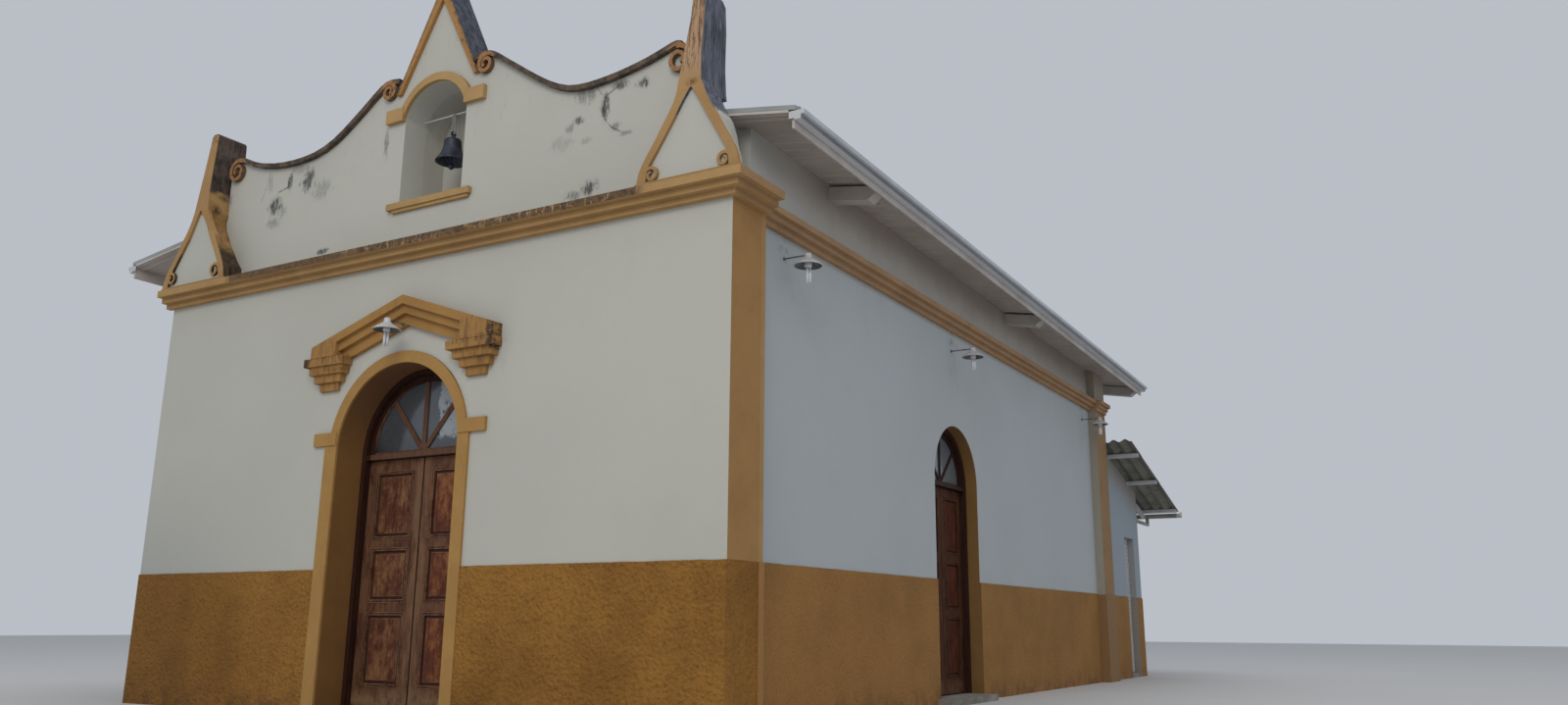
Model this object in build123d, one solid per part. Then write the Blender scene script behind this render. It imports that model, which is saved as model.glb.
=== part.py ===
from build123d import *
import math
import os

# Small rendered-masonry chapel. Millimetres, +Z up.
# X runs along the front from left to right, Y runs from the front wall into the nave.
# The origin is on the ground under the middle of the front, on the front wall's face.

# ---------------------------------------------------------------- driving dimensions
HALF_W = 3600.0          # half the width of the front
FRONT_T = 450.0          # thickness of the front wall
SIDE_X = 3480.0          # outer face of the side walls, set back between the corner pilasters
WALL_T = 200.0           # block walls of nave and sacristy
NAVE_L = 11150.0         # front face to the rear face of the nave
PIL_FRONT = 515.0        # depth of the front corner pilasters along the side
PIL_REAR = 10600.0       # where the rear corner pilasters start
FLOOR_Z = 60.0           # finished floor above the ground
DADO_Z = 1275.0          # top of the render coat round the foot of the walls
DADO_T = 14.0            # its thickness
CORN_Z = (4110.0, 4160.0, 4215.0, 4285.0)    # front cornice: three fillets
CORN_P = (60.0, 120.0, 180.0)                # their projections
SIDE_CORN_Z = (4090.0, 4140.0, 4190.0, 4245.0)
SIDE_CORN_P = (50.0, 100.0, 145.0)
DOOR_X = 25.0            # centre of the main doorway, a little off the middle
DOOR_A = 775.0           # half its width
DOOR_SPRING = 2362.0     # springing of its round arch
DOOR_L = DOOR_X - DOOR_A
DOOR_R = DOOR_X + DOOR_A
ARCH_L, ARCH_R = 158.0, 132.0    # widths of the architrave strips
REVEAL = 290.0           # depth from the face to the door frame
FRAME_T = 107.0          # depth of the frames; the leaves lie flush with the back
LEAF_T = 40.0
SD_Y = 4945.0            # centre of the side doorways
SD_A = 635.0
SD_SPRING = 2368.0
SD_FRAME_X = 3345.0      # outer face of the side door frame
PAR_Y0 = 180.0           # front face of the parapet
PAR_Y1 = 450.0
COPE_Y0 = 130.0          # front face of the coping rails
RAIL_T = 50.0            # thickness of the coping rails
NICHE_A = 415.0
NICHE_SILL = 4840.0
NICHE_SPRING = 5729.0
NICHE_R = 437.0
NICHE_CZ = 5592.0        # centre of the niche arch
NICHE_BACK = 720.0
PIN_X = 3235.0           # axis of the corner pinnacles
PIN_TOP = 6060.0
XR, XL = 4050.0, -4850.0     # right and left edges of the nave's sheets
EAVE_Z = 4870.0          # top of the sheets at the front end of the right eave
EAVE_L = 4900.0          # the same at the left eave
PITCH = 0.17             # slope of the right side
PITCH_L = 0.13           # slope of the left side
ROOF_X0 = (EAVE_Z - EAVE_L + XR * PITCH + XL * PITCH_L) / (PITCH + PITCH_L)     # ridge, where the two slopes meet
ROOF_T = 40.0
ROOF_Y0 = 200.0
ROOF_Y1 = 11900.0
ROOF_FALL = 0.885        # degrees: the roof drops a little towards the rear
SAC_Y1 = 13420.0         # rear face of the sacristy
SAC_ROOF_Z = 3640.0      # underside of its roof where it meets the nave
SAC_SLOPE = 0.25
SAC_ROOF_Y1 = 14400.0
SAC_ROOF_X = 4000.0
SAC_DOOR = (12440.0, 13055.0, 2260.0)
BAR_Y, BAR_Z = 420.0, 5770.0
BELL_X = 10.0

os.makedirs("parts", exist_ok=True)
parts = {}


# ---------------------------------------------------------------- helpers
def box(x0, x1, y0, y1, z0, z1):
    return Pos((x0 + x1) / 2, (y0 + y1) / 2, (z0 + z1) / 2) * Box(x1 - x0, y1 - y0, z1 - z0)


def prism_xz(pts, y0, y1):
    face = make_face(Polyline(*[(x, y0, z) for x, z in pts], close=True))
    return extrude(face, amount=y1 - y0, dir=(0, 1, 0))


def prism_yz(pts, x0, x1):
    face = make_face(Polyline(*[(x0, y, z) for y, z in pts], close=True))
    return extrude(face, amount=x1 - x0, dir=(1, 0, 0))


def cyl_x(x0, x1, y, z, r):
    return Pos((x0 + x1) / 2, y, z) * Rot(0, 90, 0) * Cylinder(r, x1 - x0)


def cyl_y(x, y0, y1, z, r):
    return Pos(x, (y0 + y1) / 2, z) * Rot(90, 0, 0) * Cylinder(r, y1 - y0)


def cyl_z(x, y, z0, z1, r):
    return Pos(x, y, (z0 + z1) / 2) * Cylinder(r, z1 - z0)


def mirror_x(shape):
    return mirror(shape, about=Plane.YZ)


def solids_of(shape):
    return list(shape.solids())


def keep(name, *shapes):
    found = []
    for s in shapes:
        found += solids_of(s)
    parts[name] = Compound(children=found) if len(found) > 1 else found[0]


def band(points, thick):
    """Closed outline of a strip lying below a polyline, at an even thickness."""
    low = []
    n = len(points)
    for i, (x, z) in enumerate(points):
        xa, za = points[max(i - 1, 0)]
        xb, zb = points[min(i + 1, n - 1)]
        d = math.hypot(xb - xa, zb - za)
        nx, nz = (zb - za) / d, -(xb - xa) / d
        if nz > 0:
            nx, nz = -nx, -nz
        low.append((x + nx * thick, z + nz * thick))
    return points + low[::-1]


def volute(cx, cz, r_out, turns, start_deg, sense, thick, y0, y1, tail=0.36):
    """A scroll: a flat strip wound inwards from start_deg, as one extruded band."""
    steps = int(18 * turns) + 1
    outer, inner = [], []
    for i in range(steps):
        t = i / (steps - 1)
        r = r_out * (1 - (1 - tail) * t)
        a = math.radians(start_deg + sense * 360 * turns * t)
        th = thick * (1 - 0.35 * t)
        outer.append((cx + r * math.cos(a), cz + r * math.sin(a)))
        inner.append((cx + (r - th) * math.cos(a), cz + (r - th) * math.sin(a)))
    return prism_xz(outer + inner[::-1], y0, y1)


def tilt(shape):
    """Sets a roof piece on the slight fall towards the rear."""
    return shape.rotate(Axis((0, ROOF_Y0, EAVE_Z), (1, 0, 0)), -ROOF_FALL)


def roof_top(x):
    return EAVE_Z + (XR - x) * PITCH if x > ROOF_X0 else EAVE_L + (x - XL) * PITCH_L


def above_roof(drop):
    """Everything higher than a surface parallel to the roof sheets and the given drop below their top."""
    pts = [(-6000, roof_top(-6000) - drop), (ROOF_X0, roof_top(ROOF_X0) - drop), (6000, roof_top(6000) - drop), (6000, 9000), (-6000, 9000)]
    return tilt(prism_xz(pts, -2000, 16000))


# ---------------------------------------------------------------- floors and steps
floor = box(-3280, 3280, 60, 10950, 0, FLOOR_Z) - box(-HALF_W, DOOR_L, 0, FRONT_T, -1, 200) - box(
    DOOR_R, HALF_W, 0, FRONT_T, -1, 200
)
floor += box(DOOR_L, DOOR_R, -60, 60, 0, FLOOR_Z)
sac_floor = box(-3280, 3280, NAVE_L, SAC_Y1 - WALL_T, 0, FLOOR_Z)
sac_floor += box(3280, 3470, SAC_DOOR[0], SAC_DOOR[1], 0, FLOOR_Z)
keep("floor_slabs", floor, sac_floor)

step_r = box(SIDE_X + DADO_T, 3655, SD_Y - 725, SD_Y + 640, 0, FLOOR_Z + 8)
step_r += box(3280, SIDE_X + DADO_T, SD_Y - SD_A, SD_Y + SD_A, 0, FLOOR_Z + 8)
keep("side_door_steps", step_r, mirror_x(step_r))

# ---------------------------------------------------------------- front wall
dado_l = box(-HALF_W, DOOR_L - ARCH_L, -DADO_T, 0, 0, DADO_Z)
dado_r = box(DOOR_R + ARCH_R, HALF_W, -DADO_T, 0, 0, DADO_Z)
keep("front_wall_left", box(-HALF_W, DOOR_L, 0, FRONT_T, 0, CORN_Z[3]) + dado_l)
keep("front_wall_right", box(DOOR_R, HALF_W, 0, FRONT_T, 0, CORN_Z[3]) + dado_r)
keep("front_wall_arch", box(DOOR_L, DOOR_R, 0, FRONT_T, DOOR_SPRING, CORN_Z[3]) - cyl_y(DOOR_X, -10, FRONT_T + 10, DOOR_SPRING, DOOR_A))

# front cornice: three fillets stepping out, turned round the right corner over the pilaster
cornice = None
for i in range(3):
    p = CORN_P[i]
    run = box(-HALF_W - 50, HALF_W + p, -p, 0, CORN_Z[i], CORN_Z[i + 1])
    run += box(HALF_W, HALF_W + p, -p, PIL_FRONT, CORN_Z[i], CORN_Z[i + 1])
    cornice = run if cornice is None else cornice + run
keep("front_cornice", cornice)

# side cornices between the pilasters, with a block over each rear pilaster
side_c = None
for i in range(3):
    run = box(SIDE_X, SIDE_X + SIDE_CORN_P[i], PIL_FRONT, PIL_REAR, SIDE_CORN_Z[i], SIDE_CORN_Z[i + 1])
    run += box(SIDE_X, HALF_W + (30, 60, 100)[i], PIL_REAR - 10, NAVE_L, SIDE_CORN_Z[i], SIDE_CORN_Z[i + 1])
    side_c = run if side_c is None else side_c + run
keep("side_cornices", side_c, mirror_x(side_c))

# corner pilasters
pil = box(SIDE_X, HALF_W, FRONT_T, PIL_FRONT, 0, CORN_Z[0]) + box(SIDE_X, HALF_W + DADO_T, FRONT_T, PIL_FRONT, 0, DADO_Z)
pil_top = box(SIDE_X, HALF_W, FRONT_T, PIL_FRONT, CORN_Z[0], CORN_Z[3])
pil_r = box(SIDE_X, HALF_W, PIL_REAR, NAVE_L, 0, SIDE_CORN_Z[0]) + box(SIDE_X, HALF_W + DADO_T, PIL_REAR, NAVE_L, 0, DADO_Z)
# the rear pilasters go on above their cornice blocks, up to the soffit
pil_u = box(SIDE_X, HALF_W, PIL_REAR, NAVE_L, SIDE_CORN_Z[3], 5300)
over_eaves = above_roof(82)
keep("corner_pilasters", pil + pil_top, pil_r, mirror_x(pil + pil_top), mirror_x(pil_r), pil_u - over_eaves, mirror_x(pil_u) - over_eaves)

# ---------------------------------------------------------------- parapet, copings, pinnacles
RAIL_L = [(-2928, 5794), (-2868, 5786), (-2723, 5716), (-2548, 5659), (-2346, 5618), (-2184, 5600), (-2025, 5593), (-1869, 5597),
          (-1717, 5613), (-1570, 5648), (-1427, 5704), (-1289, 5782), (-1153, 5872), (-1018, 5965), (-886, 6062),
          (-775, 6138), (-700, 6172), (-630, 6182), (-540, 6172), (-500, 6165)]
RAIL_R = [(500, 6150), (560, 6166), (640, 6174), (723, 6168), (788, 6141), (854, 6100), (986, 6006), (1115, 5917),
          (1242, 5828), (1367, 5745), (1490, 5668), (1611, 5606), (1728, 5563), (1843, 5543), (1956, 5538),
          (2067, 5541), (2177, 5549), (2285, 5561), (2392, 5577), (2498, 5596), (2603, 5618), (2707, 5645),
          (2810, 5677), (2861, 5692), (2912, 5700), (2964, 5688)]
GABLE_X = 15.0
gable_out = [(GABLE_X - 552, 5990), (GABLE_X, 7125), (GABLE_X + 552, 5990)]
gable_in = [(GABLE_X - 496, 5990), (GABLE_X, 6920), (GABLE_X + 496, 5990)]


def rail(points):
    return prism_xz(band(points, RAIL_T), COPE_Y0, PAR_Y1 + 12)


def ring_end(cx, cz, r, start, sense):
    return volute(cx, cz, r, 1.45, start, sense, 46, COPE_Y0, PAR_Y0)


coping_l = rail(RAIL_L) + ring_end(-2985, 5652, 150, 60, 1) + ring_end(-652, 6058, 118, 100, -1)
coping_r = rail(RAIL_R) + ring_end(668, 6048, 122, 80, 1) + ring_end(2935, 5525, 150, 100, -1)
gable_coping = prism_xz(gable_out + gable_in[::-1], COPE_Y0 + 10, PAR_Y1 + 12)
coping_l = coping_l - gable_coping
coping_r = coping_r - gable_coping
arch_band = cyl_y(12, 140, PAR_Y0, NICHE_CZ, NICHE_R + 82) - cyl_y(0, 130, PAR_Y0 + 5, NICHE_CZ, NICHE_R)
arch_band -= box(-700, 700, 100, 200, 4500, NICHE_SPRING)
arch_band += box(-NICHE_A - 235, -NICHE_A, 130, PAR_Y0, 5695, 5835) + box(NICHE_A, NICHE_A + 255, 130, PAR_Y0, 5695, 5835)
arch_band -= gable_coping
arch_band -= coping_l
arch_band -= coping_r
sill = box(-NICHE_A - 127, NICHE_A + 145, 130, PAR_Y0, 4755, 4818) + box(-NICHE_A - 60, NICHE_A + 120, 147, PAR_Y0, 4722, 4755)

# A-shaped pinnacle: tall tapered shaft flaring into two legs, the leg towards the middle wider; front leans back a little
SHAPE = [(4338, 474), (4429, 456), (4501, 428), (4604, 371), (4701, 313), (4826, 245), (4925, 186), (5010, 145),
         (5085, 116), (5170, 101), (5400, 88), (5570, 79), (5740, 70), (5940, 61)]
HOLE = [(4341, 384), (4463, 369), (4491, 354), (4568, 307), (4702, 229), (4849, 141)]
WIDER_R = [(4285, 47), (4427, 47), (4710, 36), (5027, 34), (5170, 45), (5400, 28), (5570, 14), (5740, 0)]
WIDER_L = [(4285, 100), (4467, 100), (4708, 95), (4826, 85), (4925, 79), (5010, 65), (5085, 49), (5163, 25), (5400, 0)]
lean = [(-400, 4200), (-100, 4200), (-100, 4350), (-78, 5100), (0, PIN_TOP), (0, 6300), (-400, 6300)]
cut_front = prism_yz(lean, 2500, 4000)
cut_pocket = prism_yz([(y + 30 if y > -300 else y, z) for y, z in lean], 2500, 4000)


def further(table, z):
    """How much wider the inner side is at a height."""
    for (za, a), (zb, b) in zip(table[:-1], table[1:]):
        if z <= zb:
            return a + (b - a) * (z - za) / (zb - za)
    return 0.0


def within(table, z):
    """Limit of a half width at a height; none above the table."""
    return further(table, z) if table and z < table[-1][0] else 9000.0

# the right shaft is slimmer on its outer side; behind the face the right foot is narrower outside and the left foot inside
SLIM_R = [(4285, 0), (5085, 0), (5170, 22), (5400, 22), (5570, 12), (5740, 0)]
SLIM_L = [(4285, 0), (5400, 0)]
REAR_R = [(4285, 318), (4469, 313), (4573, 307), (4638, 293), (4745, 275), (4854, 250), (4900, 240)]
REAR_L = [(4285, 480), (4511, 462), (4559, 405), (4818, 225), (5010, 120), (5077, 105), (5100, 105)]

def pinnacle(wider, slim, rear_in, rear_out, top, waist, apex, shift, scrolls, back_y, bevel):
    shape = SHAPE + [(top - 28, 57), (top, 34)]
    foot = PIN_X - 490 - wider[0][1]
    inner_edge = [(PIN_X - h - further(wider, z), z) for z, h in shape]
    outer_edge = [(PIN_X + h - further(slim, z), z) for z, h in shape]
    outline = [(foot, 4285), (foot, 4338)] + inner_edge + outer_edge[::-1] + [(PIN_X + 490, 4338), (PIN_X + 490, 4285)]
    hole = HOLE + [(4997, waist)]
    pocket = [(PIN_X - h - further(wider, z), z) for z, h in hole] + [(PIN_X - 9 - shift, apex), (PIN_X + 9 - shift, apex)]
    pocket += [(PIN_X + h, z) for z, h in hole[::-1]]
    rear_line = [(max(x, PIN_X - within(rear_in, z)), z) if x < PIN_X else (min(x, PIN_X + within(rear_out, z)), z) for x, z in outline]
    rear_line = [q for q, last in zip(rear_line, rear_line[-1:] + rear_line[:-1]) if abs(q[0] - last[0]) + abs(q[1] - last[1]) > 0.01]
    body = prism_xz(outline, -140, -35) + prism_xz(rear_line, -35, PAR_Y0) - cut_front
    body -= prism_xz(pocket, -200, 0) & cut_pocket
    shaft = [(x, z) for x, z in inner_edge + outer_edge[::-1] if z >= 5170]
    shaft = [(max(x, 3131), z) for x, z in [(0, 5110)] + shaft + [(PIN_X + 88, 5110)]]     # clear of the parapet's end
    back = prism_xz(shaft, PAR_Y0, back_y)
    feet = None
    for dx, z, r, start, sense in scrolls:
        f = volute(PIN_X + dx, z, r, 1.3, start, sense, 32, -98, -66)
        feet = f if feet is None else feet + f
    done = body + back + feet
    if bevel:
        done -= prism_yz([(back_y - bevel, top + 5), (back_y + 10, top - bevel - 5), (back_y + 10, top + 5)], 2500, 4000)
    return done


pin_r = pinnacle(WIDER_R, SLIM_R, (), REAR_R, PIN_TOP, 60, 5104, 15, ((-378, 4400, 90, 200, -1), (329, 4400, 86, -20, 1)), 315, 80)
pin_l = mirror_x(pinnacle(WIDER_L, SLIM_L, REAR_L, (), PIN_TOP + 30, 78, 5171, 0, ((-400, 4432, 98, 200, -1), (340, 4432, 92, -20, 1)), 345, 0))
keep("pinnacle_right", pin_r)
keep("pinnacle_left", pin_l)

# parapet wall under the rails, split at the niche
FLARE_L = [(3576, 4285), (3567, 4450), (3542, 4590), (3515, 4720), (3495, 4885), (3442, 4945), (3400, 4985), (3336, 5108), (3128, 5108)]
FLARE_R = [(3400, 4285), (3391, 4450), (3381, 4600), (3372, 4708), (3357, 4790), (3338, 4900), (3313, 5000), (3276, 5066), (3155, 5106), (3100, 5108)]


left_top = [(x, z - 20) for x, z in RAIL_L]
right_top = [(x, z - 20) for x, z in RAIL_R]
left_line = [(-x, z) for x, z in FLARE_L] + [(-3128, 5600), (-3090, 5700), (-2985, 5760)] + left_top + [(-460, 6150)]
right_line = [(460, 6130)] + right_top + [(3010, 5660), (3080, 5600), (3128, 5500)] + FLARE_R[::-1]
whole = left_line + [(GABLE_X - 440, 6180), (GABLE_X, 7050), (GABLE_X + 440, 6180)] + right_line
wall = prism_xz(whole, PAR_Y0, PAR_Y1)
wall -= gable_coping
wall -= coping_l
wall -= coping_r
niche_void = box(-NICHE_A, NICHE_A, 100, NICHE_BACK, NICHE_SILL, NICHE_SPRING) + (
    cyl_y(0, 100, NICHE_BACK, NICHE_CZ, NICHE_R) & box(-NICHE_A, NICHE_A, 100, NICHE_BACK, NICHE_SPRING - 1, 6200)
)
wall -= niche_void


def big(shape):
    """The largest solid, free of the crumbs a trim can leave."""
    return max(solids_of(shape), key=lambda s: s.volume)


keep("parapet_left", big(wall & box(-4000, -NICHE_A, 0, 600, 4000, 7300)))
keep("parapet_right", big(wall & box(NICHE_A, 4000, 0, 600, 4000, 7300)))
mid = wall & box(-NICHE_A, NICHE_A, 0, 600, 4000, 7300)
keep("parapet_middle", *[s for s in solids_of(mid) if s.volume > 1e6])
keep("coping_left", big(coping_l))
keep("coping_right", big(coping_r))
keep("gable_coping", gable_coping)
keep("niche_surround", *[s for s in solids_of(arch_band) if s.volume > 1e5], sill)

# bell housing behind the parapet
housing = box(-NICHE_A - 110, NICHE_A + 110, PAR_Y1, NICHE_BACK + 110, 4740, 6120) - niche_void
housing = housing - gable_coping - coping_l - coping_r
keep("bell_housing", big(housing))

# bell bar between the jambs
bar = cyl_x(-440, 440, BAR_Y, BAR_Z, 8)
keep("bell_bar", bar & niche_void)

# bell: a hollow turned shell with a flat crown ring, hung from two thin straps
prof = [(0, 5512), (52, 5510), (74, 5502), (85, 5486), (87, 5455), (92, 5415), (101, 5375), (114, 5343), (132, 5312), (150, 5288),
        (160, 5272), (160, 5264), (147, 5264), (122, 5300), (100, 5345), (87, 5385), (78, 5420), (72, 5455), (69, 5476), (54, 5488),
        (0, 5490)]
face = make_face(Polyline(*[(BELL_X + x, BAR_Y, z) for x, z in prof], close=True))
bell = revolve(face, Axis((BELL_X, BAR_Y, 0), (0, 0, 1)), 360)
bell += cyl_z(BELL_X, BAR_Y, 5505, 5540, 20)
bell += cyl_x(BELL_X - 8, BELL_X + 8, BAR_Y, 5563, 30)
bell -= cyl_x(BELL_X - 20, BELL_X + 20, BAR_Y, 5568, 11)
for s in (-1, 1):
    bell += box(BELL_X + s * 17 - 4, BELL_X + s * 17 + 4, BAR_Y - 12, BAR_Y + 12, 5452, 5492)
bell += cyl_x(BELL_X - 21, BELL_X + 21, BAR_Y, 5465, 5)
keep("bell", bell)
hanger = cyl_x(BELL_X - 19, BELL_X + 19, BAR_Y, 5568, 10.5)
for s in (-1, 1):
    hanger += box(BELL_X + s * 15 - 4, BELL_X + s * 15 + 4, BAR_Y - 6, BAR_Y + 6, 5560, BAR_Z)
    hanger += cyl_x(BELL_X + s * 15 - 4, BELL_X + s * 15 + 4, BAR_Y, BAR_Z, 19)
hanger -= cyl_x(BELL_X - 60, BELL_X + 60, BAR_Y, BAR_Z, 10)
keep("bell_hanger", hanger)
clapper = cyl_x(BELL_X - 8, BELL_X + 8, BAR_Y, 5465, 14) + cyl_z(BELL_X, BAR_Y, 5185, 5460, 6)
clapper += Pos(BELL_X, BAR_Y, 5214) * Sphere(28)
clapper -= cyl_x(BELL_X - 20, BELL_X + 20, BAR_Y, 5465, 6)
keep("bell_clapper", clapper)

# ---------------------------------------------------------------- main doorway
DOOR_JAMB = 725.0            # half the clear width between the jambs of the frame
TRANSOM = (2312.0, 2362.0)
SASH_R = 665.0               # glass of the fanlight
FRAME_Y = REVEAL + FRAME_T
frame = box(DOOR_L, DOOR_X - DOOR_JAMB, REVEAL, FRAME_Y, FLOOR_Z, DOOR_SPRING)
frame += box(DOOR_X + DOOR_JAMB, DOOR_R, REVEAL, FRAME_Y, FLOOR_Z, DOOR_SPRING)
ring = cyl_y(DOOR_X, REVEAL, FRAME_Y, DOOR_SPRING, DOOR_A - 0.5) - cyl_y(DOOR_X, REVEAL - 1, FRAME_Y + 1, DOOR_SPRING, DOOR_JAMB)
ring += cyl_y(DOOR_X, 345, 385, DOOR_SPRING, DOOR_JAMB + 10) - cyl_y(DOOR_X, 340, 390, DOOR_SPRING, SASH_R)
frame += ring & box(DOOR_L, DOOR_R, REVEAL, FRAME_Y, DOOR_SPRING, 3300)
frame += box(DOOR_L + 2, DOOR_R - 2, REVEAL + 6, FRAME_Y, *TRANSOM)
frame += box(DOOR_X - DOOR_JAMB, DOOR_X + DOOR_JAMB, 345, 385, TRANSOM[1], TRANSOM[1] + 26)
FAN_X = DOOR_X - 28
bars = cyl_y(FAN_X, 348, 382, DOOR_SPRING, 62)
for a in (50, 90, 130):
    bars += Pos(FAN_X, 365, DOOR_SPRING) * Rot(0, -a, 0) * Pos(360, 0, 0) * Box(720, 34, 48)
bars = bars & box(DOOR_X - 700, DOOR_X + 700, 300, 390, 2380, 3200)
frame += bars & cyl_y(DOOR_X, 300, 390, DOOR_SPRING, SASH_R + 5)
glass = (cyl_y(DOOR_X, 362, 368, DOOR_SPRING, SASH_R) & box(DOOR_X - 700, DOOR_X + 700, 300, 400, TRANSOM[1] + 26, 3200)) - frame
keep("main_door_frame", frame)


def leaf_panels(width, z_sets, stile, z1):
    """Panelled leaf lying from x=0 to width, y=0 (outer face) to LEAF_T, with a raised mould round each bevelled field."""
    leaf = box(0, width, 0, LEAF_T, FLOOR_Z + 12, z1)
    for a, b in z_sets:
        x0, x1 = stile, width - stile
        leaf -= box(x0, x1, -1, 14, a, b)
        leaf += box(x0, x1, -6, 14, a, b) - box(x0 + 28, x1 - 28, -7, 15, a + 28, b - 28)
        leaf += box(x0 + 46, x1 - 46, 9, 15, a + 46, b - 46)
        leaf += box(x0 + 60, x1 - 60, 3, 15, a + 60, b - 60)
        leaf -= box(x0, x1, LEAF_T - 12, LEAF_T + 1, a, b)
        leaf += box(x0 + 44, x1 - 44, LEAF_T - 13, LEAF_T - 4, a + 44, b - 44)
    return leaf


LEAF_Y = FRAME_Y - LEAF_T - 2      # outer face of the leaves
PANELS = ((238, 900), (985, 1485), (1562, 2200))
leaf_w = DOOR_JAMB - 5 - 5
HINGE_X = DOOR_X - DOOR_JAMB
leaf_l = Pos(HINGE_X + 5, LEAF_Y, 0) * leaf_panels(leaf_w, PANELS, 110, TRANSOM[0] - 8)
for z in (420, 1220, 2020):
    leaf_l += box(HINGE_X + 5, HINGE_X + 60, LEAF_Y + LEAF_T, LEAF_Y + LEAF_T + 4, z, z + 110)
    leaf_l += cyl_z(HINGE_X + 2.5, LEAF_Y + LEAF_T + 9.5, z, z + 110, 7) + box(
        HINGE_X + 5, HINGE_X + 14, LEAF_Y + LEAF_T, LEAF_Y + LEAF_T + 9.5, z, z + 110)
leaf_r = mirror(leaf_l, about=Plane(origin=(DOOR_X, 0, 0), z_dir=(1, 0, 0)))
keep("main_door_leaf_left", leaf_l)
keep("main_door_leaf_right", leaf_r)

# architrave with impost blocks, and the stepped gable hood on corbels
IMPOST = (2424.0, 2546.0)
arch = box(DOOR_L - ARCH_L, DOOR_L, -22, 0, 0, IMPOST[0]) + box(DOOR_R, DOOR_R + ARCH_R, -22, 0, 0, IMPOST[0])
arch += (cyl_y(DOOR_X, -22, 0, DOOR_SPRING, DOOR_A + 108) - cyl_y(DOOR_X, -31, 1, DOOR_SPRING, DOOR_A)) & box(-1000, 1000, -40, 10, IMPOST[0] - 10, 3400)
arch += box(-1060, DOOR_L - 5, -32, 0, *IMPOST) + box(DOOR_R + 5, 1125, -32, 0, *IMPOST)
keep("door_architrave", arch)

HOOD_X, HOOD_Z = 98.0, 3750.0       # apex
HOOD_L, HOOD_R = -1097.0, 1230.0    # ends
HOOD_P = 130.0


def hood_z(x, drop):
    return HOOD_Z - drop - (0.3135 * (HOOD_X - x) if x < HOOD_X else 0.345 * (x - HOOD_X))


def chevron(x0, x1, top, bottom, p):
    return prism_xz([(x0, hood_z(x0, top)), (HOOD_X, hood_z(HOOD_X, top)), (x1, hood_z(x1, top)),
                     (x1, hood_z(x1, bottom)), (HOOD_X, hood_z(HOOD_X, bottom)), (x0, hood_z(x0, bottom))], -p, 0)


hood = chevron(HOOD_L, HOOD_R, 0, 84, HOOD_P)
hood += prism_xz([(HOOD_L, 3268), (HOOD_L, hood_z(HOOD_L, 40)), (-760, hood_z(-760, 40)), (-760, 3268)], -HOOD_P, 0)
hood += prism_xz([(848, 3238), (848, hood_z(848, 40)), (HOOD_R, hood_z(HOOD_R, 40)), (HOOD_R, 3238)], -HOOD_P, 0)
hood += chevron(-765, 853, 80, 166, 90) + chevron(-765, 853, 160, 268, 48)
for tiers in (((-1195, -655), (-1143, -687), (-1096, -733), (-1041, -789)), ((682, 1240), (737, 1206), (806, 1157), (862, 1098))):
    for i, (x0, x1) in enumerate(tiers):
        z1 = (3268 if x0 < 0 else 3238) - 79 * i
        hood += box(x0, x1, -(124, 95, 66, 36)[i], 0, z1 - 79, z1)
keep("door_hood", hood)

# ---------------------------------------------------------------- side doorways and walls
ceiling_cut = above_roof(ROOF_T + 4)
raft_cut = []
RAFTER_Y = (1860.0, 6800.0, 11700.0)


def rafter(side, y):
    """One sloping roof beam from the ridge to its eave, with a splayed end under the gutter."""
    def at(x, drop):
        return (ROOF_X0 + side * x, roof_top(ROOF_X0 + side * x) - drop)

    wall = SIDE_X - side * ROOF_X0 + 4      # just outside the side wall
    half = XR - ROOF_X0 if side > 0 else ROOF_X0 - XL
    pts = [at(half - 60, 100), at(half - 60, 145), at(half - 160, 235), at(2, 235)]
    pts = pts + ([at(2, 100)] if y > NAVE_L else [at(2, ROOF_T + 2), at(wall, ROOF_T + 2), at(wall + 1, 100)])
    return tilt(prism_xz(pts, y, y + 150))


beams = [rafter(s, y) for y in RAFTER_Y for s in (-1, 1)]
keep("roof_beams", *beams)


def side_wall(y0, y1, z0=0.0):
    w = box(SIDE_X - WALL_T, SIDE_X, y0, y1, z0, 5200)
    return w


def finish_wall(w):
    w = w - ceiling_cut
    for b in beams:
        w = w - b
    return w


def side_dado(y0, y1):
    return box(SIDE_X, SIDE_X + DADO_T, y0, y1, 0, DADO_Z + 12)


sd0, sd1 = SD_Y - SD_A, SD_Y + SD_A
sd_void = box(3000, 3700, sd0, sd1, -10, SD_SPRING) + cyl_x(3000, 3700, SD_Y, SD_SPRING, SD_A)
wf = finish_wall(side_wall(FRONT_T, sd0)) + side_dado(PIL_FRONT, sd0)
wr = finish_wall(side_wall(sd1, NAVE_L - WALL_T)) + side_dado(sd1, PIL_REAR)
wo = finish_wall(side_wall(sd0, sd1, SD_SPRING)) - sd_void
keep("right_wall_front", wf)
keep("right_wall_rear", wr)
keep("right_wall_arch", wo)
lw = box(-SIDE_X, -SIDE_X + WALL_T, FRONT_T, NAVE_L - WALL_T, 0, 5300) - mirror_x(sd_void)
lw = finish_wall(lw) + mirror_x(side_dado(PIL_FRONT, sd0)) + mirror_x(side_dado(sd1, PIL_REAR))
keep("left_wall", lw)
rear = finish_wall(box(-SIDE_X, SIDE_X, NAVE_L - WALL_T, NAVE_L, 0, 5700))
keep("nave_rear_wall", rear)


SD_JAMB = 583.0
SD_TRANSOM = (2330.0, 2376.0)
SD_SASH = 545.0


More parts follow.
